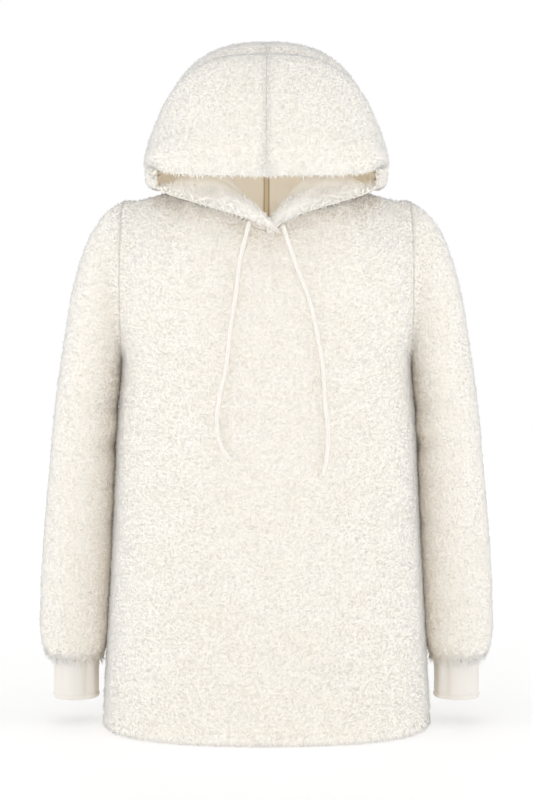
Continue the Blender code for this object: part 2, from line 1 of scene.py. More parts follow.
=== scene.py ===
# Hooded sherpa pullover, filled out and hollow: cloth shells, tufted pile, cuffs and drawcord.
import bpy
import numpy as np
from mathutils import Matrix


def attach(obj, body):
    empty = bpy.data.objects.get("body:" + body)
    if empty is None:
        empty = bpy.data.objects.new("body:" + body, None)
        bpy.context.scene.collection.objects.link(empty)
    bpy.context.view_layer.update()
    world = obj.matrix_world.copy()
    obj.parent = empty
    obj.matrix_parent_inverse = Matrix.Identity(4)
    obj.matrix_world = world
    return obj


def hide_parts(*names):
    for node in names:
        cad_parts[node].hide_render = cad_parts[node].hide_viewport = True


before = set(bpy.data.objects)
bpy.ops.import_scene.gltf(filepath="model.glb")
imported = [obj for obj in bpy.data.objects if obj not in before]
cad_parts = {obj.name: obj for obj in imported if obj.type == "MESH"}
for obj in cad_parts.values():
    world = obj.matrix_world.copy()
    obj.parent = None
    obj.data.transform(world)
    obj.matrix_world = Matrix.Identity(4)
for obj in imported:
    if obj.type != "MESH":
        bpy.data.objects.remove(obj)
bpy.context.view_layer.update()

print("frame loaded:", sorted(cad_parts))


# ---- numbers and curves that every piece uses

def readTable(names, rows):
    # one array for each named column
    values = np.array(rows, dtype=float)
    return {name: values[:, index] for index, name in enumerate(names)}


def rowsOf(table):
    # the rows of such a table, each with its values by name
    return [dict(zip(table, values)) for values in zip(*table.values())]


def smoothAt(keys, values, at):
    # cubic between two rows of a table from their values and slopes, each slope from the rows around
    slopes = np.gradient(values, keys)
    at = np.clip(np.asarray(at, dtype=float), keys[0], keys[-1])
    index = np.clip(np.searchsorted(keys, at, side="right") - 1, 0, len(keys) - 2)
    span = keys[index + 1] - keys[index]
    t = (at - keys[index]) / span
    return ((2 * t**3 - 3 * t**2 + 1) * values[index]
            + (t**3 - 2 * t**2 + t) * span * slopes[index]
            + (3 * t**2 - 2 * t**3) * values[index + 1]
            + (t**3 - t**2) * span * slopes[index + 1])


def ease(t):
    # three t squared less two t cubed, from 0 to 1
    t = np.clip(t, 0.0, 1.0)
    return t * t * (3.0 - 2.0 * t)


def bell(t):
    # e to the minus t squared
    return np.exp(-np.asarray(t, dtype=float)**2)


def roundFrom(turns, middle):
    # degrees from a middle, the short way round
    return (np.degrees(turns) - middle + 180.0) % 360.0 - 180.0


def unit(vectors):
    # each vector over its own length
    length = np.linalg.norm(vectors, axis=-1, keepdims=True)
    return vectors / np.maximum(length, 1e-12)


def gridNormals(grid, wraps):
    # cross product of the step across the columns and the step along the rows
    if wraps:
        across = np.roll(grid, -1, axis=1) - np.roll(grid, 1, axis=1)
    else:
        across = np.gradient(grid, axis=1)
    return unit(np.cross(across, np.gradient(grid, axis=0)))


def softWaves(places, size, seed, count=7):
    # mean of sines along fixed slanting directions, each about one size long
    rng = np.random.default_rng(seed)
    directions = unit(rng.normal(size=(count, 3)))
    lengths = size * rng.uniform(0.7, 1.5, count)
    phases = rng.uniform(0.0, 2.0 * np.pi, count)
    turns = 2.0 * np.pi * places @ (directions / lengths[:, None]).T + phases
    return np.sin(turns).sum(axis=-1) / np.sqrt(count)


def evenSteps(surface, low, high, others, count, alongRows):
    # values of one parameter that cut the surface's mean length along it into even steps
    fine = np.linspace(low, high, 500)
    grid = surface(fine, others) if alongRows else np.swapaxes(surface(others, fine), 0, 1)
    steps = np.linalg.norm(np.diff(grid, axis=0), axis=-1).mean(axis=1)
    run = np.concatenate([[0.0], np.cumsum(steps)])
    return np.interp(np.linspace(0.0, run[-1], count + 1), run, fine)


# ---- meshes

def makePiece(name, points, quads, triangles, materials, slots=None, maps=None, normals=None):
    # corner numbers of four-sided and three-sided faces, put into one smooth mesh
    quads = np.asarray(quads, dtype=np.int64).reshape(-1, 4)
    triangles = np.asarray(triangles, dtype=np.int64).reshape(-1, 3)
    corners = np.concatenate([quads.ravel(), triangles.ravel()])
    sizes = np.concatenate([np.full(len(quads), 4), np.full(len(triangles), 3)])
    mesh = bpy.data.meshes.new(name)
    mesh.vertices.add(len(points))
    mesh.vertices.foreach_set("co", np.asarray(points, dtype=np.float32).ravel())
    mesh.loops.add(len(corners))
    mesh.loops.foreach_set("vertex_index", corners.astype(np.int32))
    mesh.polygons.add(len(sizes))
    mesh.polygons.foreach_set("loop_start", (np.cumsum(sizes) - sizes).astype(np.int32))
    for material in materials:
        mesh.materials.append(material)
    if slots is not None:
        mesh.polygons.foreach_set("material_index", slots.astype(np.int32))
    for label, places in (maps or {}).items():
        layer = mesh.uv_layers.new(name=label)
        layer.data.foreach_set("uv", places[corners].astype(np.float32).ravel())
    mesh.update(calc_edges=True)
    mesh.validate()
    mesh.shade_smooth()
    if normals is not None:
        mesh.normals_split_custom_set_from_vertices(normals)
    piece = bpy.data.objects.new(name, mesh)
    bpy.context.scene.collection.objects.link(piece)
    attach(piece, "root")
    return piece


def gridFaces(index):
    # the four points round each cell of a grid
    return np.stack([index[:-1, :-1], index[:-1, 1:], index[1:, 1:], index[1:, :-1]],
                    axis=-1).reshape(-1, 4)


def zipEdges(fine, coarse):
    # faces between a fine edge and one with fewer points, each fine point to its nearest
    ratio = (len(fine) - 1) // (len(coarse) - 1)
    nearest = coarse[(np.arange(len(fine)) + ratio // 2) // ratio]
    first = np.stack([fine[1:], fine[:-1], nearest[:-1]], axis=-1)
    second = np.stack([fine[1:], nearest[:-1], nearest[1:]], axis=-1)
    return np.concatenate([first, second[nearest[:-1] != nearest[1:]]])


def shellPiece(name, outer, inner, wraps, outward, materials):
    # outer and inner skins on grids of their own fineness, with their open edges zipped; the inner
    # skin has the second material
    outerIndex = np.arange(outer.shape[0] * outer.shape[1]).reshape(outer.shape[:2])
    innerIndex = np.arange(inner.shape[0] * inner.shape[1]).reshape(inner.shape[:2]) + outerIndex.size
    if wraps:
        outerIndex = np.concatenate([outerIndex, outerIndex[:, :1]], axis=1)
        innerIndex = np.concatenate([innerIndex, innerIndex[:, :1]], axis=1)
    rims = [(outerIndex[0], innerIndex[0]), (outerIndex[-1, ::-1], innerIndex[-1, ::-1])]
    if not wraps:
        rims += [(outerIndex[:, -1], innerIndex[:, -1]), (outerIndex[::-1, 0], innerIndex[::-1, 0])]
    outerFaces, innerFaces = gridFaces(outerIndex), gridFaces(innerIndex)[:, ::-1]
    rim = np.concatenate([zipEdges(fine, coarse) for fine, coarse in rims])
    points = np.concatenate([outer.reshape(-1, 3), inner.reshape(-1, 3)])
    quads = np.concatenate([outerFaces, innerFaces])
    corners = points[outerFaces]
    facing = np.cross(corners[:, 2] - corners[:, 0], corners[:, 3] - corners[:, 1])
    wanted = outward.reshape(-1, 3)[outerFaces[:, 0]]
    if np.sum(facing * wanted) < 0:
        quads, rim = quads[:, ::-1], rim[:, ::-1]
    slots = np.concatenate([np.zeros(len(outerFaces)), np.ones(len(innerFaces)), np.zeros(len(rim))])
    return makePiece(name, points, quads, rim, materials, slots)


# ---- materials

# radians of a whole turn, for the waves of knit and braid
wholeTurn = 6.2832


def addNode(tree, kind, feeds=None, **settings):
    # a node with its settings, and each of its sockets linked or given a value
    node = tree.nodes.new(kind)
    for key, value in settings.items():
        setattr(node, key, value)
    for key, value in (feeds or {}).items():
        if isinstance(value, bpy.types.NodeSocket):
            tree.links.new(value, node.inputs[key])
        else:
            node.inputs[key].default_value = value
    return node


def newGroup(name, takes, gives):
    # a node group with its sockets and nothing in it yet
    tree = bpy.data.node_groups.new(name, "ShaderNodeTree")
    kinds = {"number": "NodeSocketFloat", "colour": "NodeSocketColor", "place": "NodeSocketVector"}
    for label, kind, value in takes:
        socket = tree.interface.new_socket(name=label, in_out="INPUT", socket_type=kinds[kind])
        if value is not None:
            socket.default_value = value
    for label, kind in gives:
        tree.interface.new_socket(name=label, in_out="OUTPUT", socket_type=kinds[kind])
    return tree, tree.nodes.new("NodeGroupInput"), tree.nodes.new("NodeGroupOutput")


def mottleGroup():
    # two colours mixed by a coarse and a fine noise
    tree, taken, given = newGroup(
        "softMottle",
        (("Place", "place", None), ("Low", "colour", (0.8, 0.8, 0.8, 1)),
         ("High", "colour", (0.9, 0.9, 0.9, 1)), ("Patch", "number", 20.0), ("Grain", "number", 400.0),
         ("Grain Share", "number", 0.5)),
        (("Colour", "colour"), ("Mask", "number")))
    own = taken.outputs
    coarse = addNode(tree, "ShaderNodeTexNoise", {"Vector": own["Place"], "Scale": own["Patch"], "Detail": 3.0})
    fine = addNode(tree, "ShaderNodeTexNoise", {"Vector": own["Place"], "Scale": own["Grain"], "Detail": 2.0})
    both = addNode(tree, "ShaderNodeMix", {0: own["Grain Share"], 2: coarse.outputs[0], 3: fine.outputs[0]})
    spread = addNode(tree, "ShaderNodeMapRange", {0: both.outputs[0], 1: 0.34, 2: 0.66},
                     interpolation_type="SMOOTHSTEP")
    mixed = addNode(tree, "ShaderNodeMix", {0: spread.outputs[0], 6: own["Low"], 7: own["High"]},
                    data_type="RGBA")
    tree.links.new(mixed.outputs[2], given.inputs["Colour"])
    tree.links.new(spread.outputs[0], given.inputs["Mask"])
    return tree


def knitGroup():
    # rows of loops: a wave across times a wave along, both on the piece's own places
    tree, taken, given = newGroup(
        "knitLoops", (("Place", "place", None), ("Wale", "number", 0.0012), ("Course", "number", 0.0010)),
        (("Height", "number"),))
    parts = addNode(tree, "ShaderNodeSeparateXYZ", {0: taken.outputs["Place"]})
    around = addNode(tree, "ShaderNodeMath", {0: parts.outputs[0], 1: parts.outputs[1]}, operation="ADD")
    waves = []
    for source, size in ((around.outputs[0], "Wale"), (parts.outputs[2], "Course")):
        share = addNode(tree, "ShaderNodeMath", {0: source, 1: taken.outputs[size]}, operation="DIVIDE")
        turn = addNode(tree, "ShaderNodeMath", {0: share.outputs[0], 1: wholeTurn}, operation="MULTIPLY")
        waves.append(addNode(tree, "ShaderNodeMath", {0: turn.outputs[0]}, operation="SINE"))
    product = addNode(tree, "ShaderNodeMath", {0: waves[0].outputs[0], 1: waves[1].outputs[0]},
                      operation="MULTIPLY")
    height = addNode(tree, "ShaderNodeMath", {0: product.outputs[0], 1: 0.5, 2: 0.5},
                     operation="MULTIPLY_ADD")
    tree.links.new(height.outputs[0], given.inputs["Height"])
    return tree


groups = {"mottle": mottleGroup(), "knit": knitGroup()}


def startMaterial(name, roughness, sheen):
    # matt cloth with a soft sheen, and its places in the object
    material = bpy.data.materials.new(name)
    material.use_nodes = True
    tree = material.node_tree
    shader = tree.nodes["Principled BSDF"]
    shader.inputs["Roughness"].default_value = roughness
    shader.inputs["Specular IOR Level"].default_value = 0.15
    shader.inputs["Sheen Weight"].default_value = sheen
    shader.inputs["Sheen Roughness"].default_value = 0.6
    place = addNode(tree, "ShaderNodeTexCoord").outputs["Object"]
    return material, tree, shader, place


def mottle(tree, place, low, high, patch, grain, share):
    # the mottled tint between two colours
    return addNode(tree, "ShaderNodeGroup",
                   {"Place": place, "Low": (*low, 1), "High": (*high, 1), "Patch": patch, "Grain": grain,
                    "Grain Share": share}, node_tree=groups["mottle"])


def pileMaterial(look):
    # the colour runs from a darker, warm root to a pale tip, partly the fleece's own tone and partly painted
    # shade between the tufts, times each tuft's own tint, which lies between shaded and white and carries
    # painted shade
    material, tree, shader, place = startMaterial("sherpaPile", 0.95, look["sheen"])
    curl = addNode(tree, "ShaderNodeUVMap", uv_map="curl")
    parts = addNode(tree, "ShaderNodeSeparateXYZ", {0: curl.outputs[0]})
    tint = mottle(tree, place, look["tipLow"], look["tipHigh"], 9.0, 160.0, 0.35)
    alongCurl = addNode(tree, "ShaderNodeMapRange", {0: parts.outputs[1], 1: 0.0, 2: 0.8},
                        interpolation_type="SMOOTHSTEP")
    body = addNode(tree, "ShaderNodeMix", {0: alongCurl.outputs[0], 6: (*look["root"], 1), 7: tint.outputs[0]},
                   data_type="RGBA")
    own = addNode(tree, "ShaderNodeMix", {0: parts.outputs[0], 6: (*look["shaded"], 1), 7: (1.0, 1.0, 1.0, 1)},
                  data_type="RGBA")
    final = addNode(tree, "ShaderNodeMix", {0: 1.0, 6: body.outputs[2], 7: own.outputs[2]}, data_type="RGBA",
                    blend_type="MULTIPLY")
    tree.links.new(final.outputs[2], shader.inputs["Base Color"])
    return material


def groundMaterial(look):
    # what shows between the tufts: warm and darker than the tips, partly the fleece's own tone and partly
    # painted shade, with the hollows of a fine cell pattern in the bump
    material, tree, shader, place = startMaterial("sherpaGround", 0.95, look["sheen"])
    tint = mottle(tree, place, look["groundLow"], look["groundHigh"], 40.0, 330.0, 0.6)
    cells = addNode(tree, "ShaderNodeTexVoronoi", {"Vector": place, "Scale": 330.0}, feature="SMOOTH_F1")
    bump = addNode(tree, "ShaderNodeBump", {"Strength": 0.7, "Distance": 0.0012, "Height": cells.outputs[0]},
                   invert=True)
    tree.links.new(tint.outputs[0], shader.inputs["Base Color"])
    tree.links.new(bump.outputs[0], shader.inputs["Normal"])
    return material


def knitMaterial(name, look):
    # smooth knit: tiny loops in the bump, with a soft patchy tint
    material, tree, shader, place = startMaterial(name, look["roughness"], look["sheen"])
    tint = mottle(tree, place, look["low"], look["high"], 14.0, 700.0, 0.3)
    loops = addNode(tree, "ShaderNodeGroup", {"Place": place, "Wale": look["wale"], "Course": look["course"]},
                    node_tree=groups["knit"])
    fuzz = addNode(tree, "ShaderNodeTexNoise", {"Vector": place, "Scale": 900.0, "Detail": 2.0})
    height = addNode(tree, "ShaderNodeMath", {0: fuzz.outputs[0], 1: 0.6, 2: loops.outputs[0]},
                     operation="MULTIPLY_ADD")
    bump = addNode(tree, "ShaderNodeBump", {"Strength": 0.5, "Distance": look["depth"],
                                            "Height": height.outputs[0]})
    rough = addNode(tree, "ShaderNodeMapRange", {0: tint.outputs["Mask"], 3: look["roughness"] - 0.06,
                                                 4: look["roughness"] + 0.04})
    tree.links.new(tint.outputs[0], shader.inputs["Base Color"])
    tree.links.new(rough.outputs[0], shader.inputs["Roughness"])
    tree.links.new(bump.outputs[0], shader.inputs["Normal"])
    return material


def cordMaterial(look):
    # braid: two sets of slanting strands on the cord's own map, with painted shade darkening the valleys
    material, tree, shader, place = startMaterial("braidedCord", 0.85, 0.2)
    strand = addNode(tree, "ShaderNodeUVMap", uv_map="braid")
    parts = addNode(tree, "ShaderNodeSeparateXYZ", {0: strand.outputs[0]})
    waves = []
    for sign in (1.0, -1.0):
        slant = addNode(tree, "ShaderNodeMath", {0: parts.outputs[1], 1: sign, 2: parts.outputs[0]},
                        operation="MULTIPLY_ADD")
        turn = addNode(tree, "ShaderNodeMath", {0: slant.outputs[0], 1: wholeTurn * look["strands"]},
                       operation="MULTIPLY")
        waves.append(addNode(tree, "ShaderNodeMath", {0: turn.outputs[0]}, operation="SINE"))
    weave = addNode(tree, "ShaderNodeMath", {0: waves[0].outputs[0], 1: waves[1].outputs[0]},
                    operation="MAXIMUM")
    valleyShade = addNode(tree, "ShaderNodeMapRange", {0: weave.outputs[0], 1: -0.6, 2: 0.9})
    tint = mottle(tree, place, look["low"], look["high"], 60.0, 900.0, 0.5)
    colour = addNode(tree, "ShaderNodeMix", {0: valleyShade.outputs[0], 6: (*look["valleyShade"], 1), 7: tint.outputs[0]},
                     data_type="RGBA")
    bump = addNode(tree, "ShaderNodeBump", {"Strength": 0.6, "Distance": 0.0004, "Height": weave.outputs[0]})
    tree.links.new(colour.outputs[2], shader.inputs["Base Color"])
    tree.links.new(bump.outputs[0], shader.inputs["Normal"])
    return material


# root and ground are darker and warmer than the tips, partly the fleece's own tone and partly painted shade
# between the tufts; shaded is the colour of painted shade
pileLook = {"tipLow": (0.955, 0.945, 0.918), "tipHigh": (0.975, 0.968, 0.946), "root": (0.935, 0.905, 0.845),
            "shaded": (0.86, 0.76, 0.64), "groundLow": (0.91, 0.855, 0.76), "groundHigh": (0.94, 0.90, 0.83),
            "sheen": 0.5}
# the valley colour is painted shade in the braid's valleys
cordLook = {"strands": 4.0, "low": (0.955, 0.935, 0.89), "high": (0.98, 0.965, 0.93),
            "valleyShade": (0.86, 0.81, 0.72)}
knitLooks = {
    "wrongSide": {"low": (0.93, 0.895, 0.82), "high": (0.955, 0.92, 0.86), "wale": 0.0016, "course": 0.0013,
                  "depth": 0.0003, "roughness": 0.88, "sheen": 0.1},
    "cuffCloth": {"low": (0.85, 0.81, 0.755), "high": (0.88, 0.845, 0.79), "wale": 0.0010, "course": 0.0008,
                  "depth": 0.00025, "roughness": 0.85, "sheen": 0.1},
    "tapeCloth": {"low": (0.70, 0.60, 0.45), "high": (0.78, 0.69, 0.55), "wale": 0.0007, "course": 0.0009,
                  "depth": 0.0003, "roughness": 0.85, "sheen": 0.0},
    "darkTapeEdge": {"low": (0.48, 0.37, 0.24), "high": (0.58, 0.47, 0.32), "wale": 0.0006, "course": 0.0009,
                   "depth": 0.0003, "roughness": 0.85, "sheen": 0.0}}
pile = pileMaterial(pileLook)
ground = groundMaterial(pileLook)
knits = {name: knitMaterial(name, look) for name, look in knitLooks.items()}
braidedCord = cordMaterial(cordLook)
print("materials made")


# ---- camera, and the drawcord's two free ends

cameraLook = {"place": (0.0, -2.1, -0.29), "lens": 70.0, "sensor": 36.0}


def setCamera(look):
    # level, looking along +Y
    data = bpy.data.cameras.new("camera")
    data.lens = look["lens"]
    data.sensor_width = look["sensor"]
    data.dof.use_dof = False
    camera = bpy.data.objects.new("camera", data)
    camera.location = look["place"]
    camera.rotation_euler = (0.5 * np.pi, 0.0, 0.0)
    bpy.context.scene.collection.objects.link(camera)
    bpy.context.scene.camera = camera


setCamera(cameraLook)

cordSizes = {"diameter": 0.0058, "around": 16, "step": 0.0012, "braidDepth": 0.00028, "pitch": 0.0175,
             "strands": 4, "pathStep": 6}
# from the throat to the bare end
cordRoutes = {
    "Left": ((-0.0208, -0.1350, -0.0633), (-0.0247, -0.1330, -0.0776), (-0.0336, -0.1268, -0.1113),
             (-0.0387, -0.1275, -0.1543), (-0.0458, -0.1273, -0.1994), (-0.0514, -0.1263, -0.2494),
             (-0.0596, -0.1278, -0.2875), (-0.0627, -0.1296, -0.3191), (-0.0576, -0.1321, -0.3469),
             (-0.0449, -0.1346, -0.3671)),
    "Right": ((0.0200, -0.1310, -0.0675), (0.0242, -0.1300, -0.0800), (0.0374, -0.1265, -0.1176),
              (0.0545, -0.1282, -0.1632), (0.0647, -0.1262, -0.2088), (0.0718, -0.1236, -0.2493),
              (0.0742, -0.1259, -0.2925), (0.0780, -0.1278, -0.3306), (0.0766, -0.1299, -0.3597),
              (0.0715, -0.1327, -0.3874)),
}


def smoothRoute(points, step):
    # even steps along the cubic through the route's points
    points = np.array(points, dtype=float)
    knots = np.concatenate([[0.0], np.cumsum(np.linalg.norm(np.diff(points, axis=0), axis=1))])
    fine = np.linspace(0.0, knots[-1], 900)
    curve = np.stack([smoothAt(knots, points[:, axis], fine) for axis in range(3)], axis=-1)
    run = np.concatenate([[0.0], np.cumsum(np.linalg.norm(np.diff(curve, axis=0), axis=1))])
    even = np.linspace(0.0, run[-1], int(round(run[-1] / step)) + 1)
    return np.stack([np.interp(even, run, curve[:, axis]) for axis in range(3)], axis=-1), even


def cordPiece(label, sizes):
    # a circle carried along the route; two sets of strands swell it where they come on top,
    # and both ends round off over one radius
    path, run = smoothRoute(cordRoutes[label], sizes["step"])
    radius = 0.5 * sizes["diameter"]
    along = unit(np.gradient(path, axis=0))
    side = unit(np.cross(along, (0.0, 1.0, 0.0)))
    front = np.cross(side, along)
    turn = 2.0 * np.pi * np.arange(sizes["around"]) / sizes["around"]
    slant = 2.0 * np.pi * run[:, None] / sizes["pitch"]
    count = sizes["strands"]
    strands = np.maximum(np.sin(count * turn + slant), np.sin(count * turn - slant))
    fromEnd = np.minimum(run, run[-1] - run) / radius
    cap = np.sqrt(np.clip(1.0 - (1.0 - np.clip(fromEnd, 0.02, 1.0))**2, 0.0, 1.0))
    swell = (radius - sizes["braidDepth"] * (1.0 - 0.5 * (1.0 + strands))) * cap[:, None]
    ring = side[:, None] * np.cos(turn)[:, None] + front[:, None] * np.sin(turn)[:, None]
    points = path[:, None] + ring * swell[..., None]
    index = np.arange(points.shape[0] * points.shape[1]).reshape(points.shape[:2])
    index = np.concatenate([index, index[:, :1]], axis=1)
    ends = points.shape[0] * points.shape[1] + np.arange(2)
    closing = np.concatenate([
        np.stack([index[0, 1:], index[0, :-1], np.full(len(turn), ends[0])], axis=-1),
        np.stack([index[-1, :-1], index[-1, 1:], np.full(len(turn), ends[1])], axis=-1)])
    points = np.concatenate([points.reshape(-1, 3), path[[0, -1]]])
    # the map needs no seam: its turn goes there and back, and the braid is even about it
    across = np.abs((turn / np.pi + 1.0) % 2.0 - 1.0)
    places = np.stack(np.broadcast_arrays(across[None, :], run[:, None] / sizes["pitch"]), axis=-1)
    places = np.concatenate([places.reshape(-1, 2), places[[0, -1], 0]])
    quads = gridFaces(index)
    corner = points[quads[0]]
    if np.dot(np.cross(corner[2] - corner[0], corner[3] - corner[1]), ring[0, 0]) < 0:
        quads, closing = quads[:, ::-1], closing[:, ::-1]
    cord = makePiece("cord" + label, points, quads, closing, [braidedCord], maps={"braid": places})
    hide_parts("drawcord_" + label.lower())
    print("cord", label, "length", round(float(run[-1]), 4))


for label in cordRoutes:
    cordPiece(label, cordSizes)


# ---- the cloth's common sizes

# ratio is how many steps of the outer skin make one of the inner
cloth = {"seamGap": 0.0003, "fleece": 0.006, "turnedFleece": 0.010, "pileDepth": 0.0022, "lumps": 0.0005,
         "lumpSize": 0.011, "seamDip": 0.0004, "seamWidth": 0.0045, "edgeRound": 0.0022, "stitchDip": 0.0020,
         "stitchWidth": 0.0022, "besideWidth": 0.020, "besideRise": 1.6, "armholeFill": 0.0070,
         "armholeTop": 0.3, "armholeWidth": 0.022, "ratio": 3}
neckShape = {"halfWidth": 0.095, "frontDepth": -0.112, "frontDrop": -0.071, "backDepth": 0.078,
             "backDrop": -0.040, "slope": 0.42}


def neckPoint(share, side):
    # quarter from the shoulder to the centre: x = half width cos^0.9, y = depth sin^0.8,
    # z = drop (slope sin + (1 - slope) sin^12) in front and drop sin^1.3 behind
    turn = 0.5 * np.pi * np.asarray(share, dtype=float)
    reach = np.sin(turn)
    depth, drop = ((neckShape["frontDepth"], neckShape["frontDrop"]) if side < 0
                   else (neckShape["backDepth"], neckShape["backDrop"]))
    fall = neckShape["slope"] * reach + (1.0 - neckShape["slope"]) * reach**12 if side < 0 else reach**1.3
    return np.stack([neckShape["halfWidth"] * np.abs(np.cos(turn))**0.9, depth * reach**0.8, drop * fall],
                    axis=-1)


def neckInward(points):
    # into the wall at the neck seam, half down and half towards the middle
    outward = points * np.array([1.0, 1.0, 0.0])
    return unit(-unit(outward) - np.array([0.0, 0.0, 1.0]))


def pressIn(grid, outward, depth):
    # moves every point in along its own direction
    return grid - outward * depth[..., None]


def crease(across, along, halfWidth, halfLength, depth):
    # bell across times a soft start and end along
    return depth * bell(across / halfWidth) * ease(1.0 - np.abs(along) / halfLength)


def armholeFill(fromSeam, outward):
    # bell of the distance, times y squared and a share of an upward z squared, so that body and
    # sleeve rise to one another in front, behind and a little on top
    faces = outward[..., 1]**2 + cloth["armholeTop"] * np.maximum(outward[..., 2], 0.0)**2
    return cloth["armholeFill"] * bell(fromSeam / cloth["armholeWidth"]) * faces


# ---- tufted pile

pileSizes = {"perSquareMetre": 167000, "width": 0.0026, "lift": 0.0020, "reach": 0.0006, "comb": 0.0052,
             "spread": 3.0, "swirl": 0.013, "bend": 0.0006, "rootDepth": 0.0007, "clump": 0.006,
             "clumpShare": 0.15, "calm": 0.80, "lowest": -0.7258, "seamShare": 0.25, "seamDensity": 650000}


def growCurls(name, places, outward, lean, stretch, shade, sizes, seed):
    # each curl is a three-sided tuft: three roots in the cloth on a circle, and a tip at place
    # + outward lift + along reach; along is a slow swirl plus chance, pulled over by lean, reach
    # grows with the square of that pull, and shade warms the colour
    rng = np.random.default_rng(seed)
    count = len(places)
    chance = rng.random((6, count, 1))
    stretch = stretch[:, None]
    aside = unit(np.cross(outward, (0.13, 0.07, 1.0)))
    upwards = np.cross(outward, aside)
    heading = np.pi * softWaves(places, sizes["swirl"], 5) + sizes["spread"] * rng.normal(size=count)
    heading = heading[:, None]
    pull = np.linalg.norm(lean, axis=-1, keepdims=True)
    along = aside * np.cos(heading) + upwards * np.sin(heading)
    along = unit(along * np.clip(1.0 - pull, 0.05, 1.0) + lean)
    side = np.cross(outward, along)
    lumps = 1.0 + sizes["clumpShare"] * softWaves(places, sizes["clump"], 9)[:, None]
    print("curls", name, count)
    # few tufts stand much higher than the rest, and short cloth has low ones
    uneven = 0.5 + 0.6 * chance[0] + 0.8 * chance[0]**6
    lift = sizes["lift"] * lumps * uneven * (0.3 + 0.7 * np.minimum(stretch, 1.0))
    reach = (sizes["reach"] + sizes["comb"] * pull**2) * stretch * (0.6 + 0.8 * chance[1])
    radius = 0.5 * sizes["width"] * (0.75 + 0.5 * chance[2])
    turn = 2.0 * np.pi * (chance[3] + np.arange(3) / 3.0)[..., None]
    radial = along[:, None] * np.cos(turn) + side[:, None] * np.sin(turn)
    roots = (places - outward * sizes["rootDepth"])[:, None] + radius[..., None] * radial
    tip = places + outward * lift + along * reach + side * (chance[4] - 0.5) * 2.0 * sizes["bend"]
    points = np.concatenate([roots, tip[:, None]], axis=1)
    points[..., 2] = np.maximum(points[..., 2], sizes["lowest"])
    # shaded as a round tuft, calmed towards the cloth's own direction
    rounded = np.concatenate([radial + 0.5 * outward[:, None], unit(outward + 0.6 * along)[:, None]], axis=1)
    normals = unit(unit(rounded) * (1.0 - sizes["calm"]) + outward[:, None] * sizes["calm"])
    first = 4 * np.arange(count)[:, None, None]
    triangles = (first + np.array([[0, 1, 3], [1, 2, 3], [2, 0, 3]])).reshape(-1, 3)
    # painted shade: the shade field darkens and warms each tuft's colour, on top of a random tone
    tint = (0.8 + 0.2 * chance[5]) * (1.0 - np.clip(shade, 0.0, 1.0)[:, None])
    own = np.stack(np.broadcast_arrays(tint, np.array([0.0, 0.0, 0.0, 1.0])), axis=-1)
    # a square of the OFBake map for every curl
    perSide = int(np.ceil(np.sqrt(count)))
    corner = np.stack([np.arange(count) % perSide, np.arange(count) // perSide], axis=-1)[:, None]
    inSquare = np.array([[0.08, 0.08], [0.92, 0.08], [0.5, 0.92], [0.5, 0.4]])
    maps = {"curl": own.reshape(-1, 2), "OFBake": ((corner + inSquare) / perSide).reshape(-1, 2)}
    return makePiece(name, points.reshape(-1, 3), [], triangles, [pile], maps=maps,
                     normals=normals.reshape(-1, 3))


def scatter(grid, fields, wraps, density, seed, crowd=None):
    # places spread evenly over a grid by area, closer where crowded, with every field read there
    # too: the mean of a cell's four corners, weighted by how near they are
    if wraps:
        grid = np.concatenate([grid, grid[:, :1]], axis=1)
        fields = [np.concatenate([field, field[:, :1]], axis=1) for field in fields]
    rng = np.random.default_rng(seed)
    diagonals = np.cross(grid[1:, 1:] - grid[:-1, :-1], grid[1:, :-1] - grid[:-1, 1:])
    area = 0.5 * np.linalg.norm(diagonals, axis=-1)
    if crowd is not None:
        area = area * (1.0 + crowd[:-1, :area.shape[1]])
    edges = np.cumsum(area.ravel())
    count = int(density * edges[-1])
    chosen = np.searchsorted(edges, (np.arange(count) + rng.random(count)) / count * edges[-1])
    row, column = np.unravel_index(np.minimum(chosen, area.size - 1), area.shape)
    u, v = rng.random(count), rng.random(count)

    def read(field):
        weight = [w.reshape((count,) + (1,) * (field.ndim - 2)) for w in (u, v)]
        low = field[row, column] * (1 - weight[0]) + field[row, column + 1] * weight[0]
        high = field[row + 1, column] * (1 - weight[0]) + field[row + 1, column + 1] * weight[0]
        return low * (1 - weight[1]) + high * weight[1]

    return read(grid), [read(field) for field in fields]


def scatterSeam(fields, seed):
    # more places, close together on a narrow strip beside a grid's first column
    share = pileSizes["seamShare"]
    strips = [np.stack([field[:, 0], field[:, 0] + (field[:, 1] - field[:, 0]) * share], axis=1)
              for field in fields]
    return scatter(strips[0], strips[1:], False, pileSizes["seamDensity"], seed)


def joinPlaces(first, second):
    # two lots of places, and their fields, one after the other
    return (np.concatenate([first[0], second[0]]),
            [np.concatenate([one, other]) for one, other in zip(first[1], second[1])])


# ---- front and back panels

# columns run from 0 to 24 from seam to seam, rises from 0 at the hem over 1 under the arm to 2
bodySizes = {"hemZ": -0.725, "hemDepth": 0.017, "underarmZ": -0.235, "shoulderZ": -0.026, "armholeX": 0.192,
             "armholeHalfDepth": 0.060, "centreRounding": 50.0, "armRounding": 90.0, "roundedFrom": 0.70,
             "ovalHold": 8, "ovalSpread": 1.5, "rows": (93, 48), "columns": 108, "columnWidth": 0.023,
             "riseHeight": 0.24, "softPasses": 60, "softAt": 1.02, "softSpread": 0.10, "softFromSeam": 0.7,
             "armTurn": 0.016, "armTurnRise": 0.1, "topTurn": 0.12, "fillRise": 0.15}
bodyPile = {"fall": 0.10, "hemFall": 0.75, "hemComb": 0.016, "overSeam": 0.25, "seamComb": 0.005,
            "hemLonger": 0.5, "hemLong": 0.020, "besideLonger": 0.3, "stitchShorter": 0.8, "sideShade": 0.20,
            "sideWidth": 0.012, "stitchShade": 0.35, "crowd": 1.2, "crowdWidth": 0.004, "toothWidth": 0.0078,
            "toothDepth": 0.5, "toothHeight": 0.015}
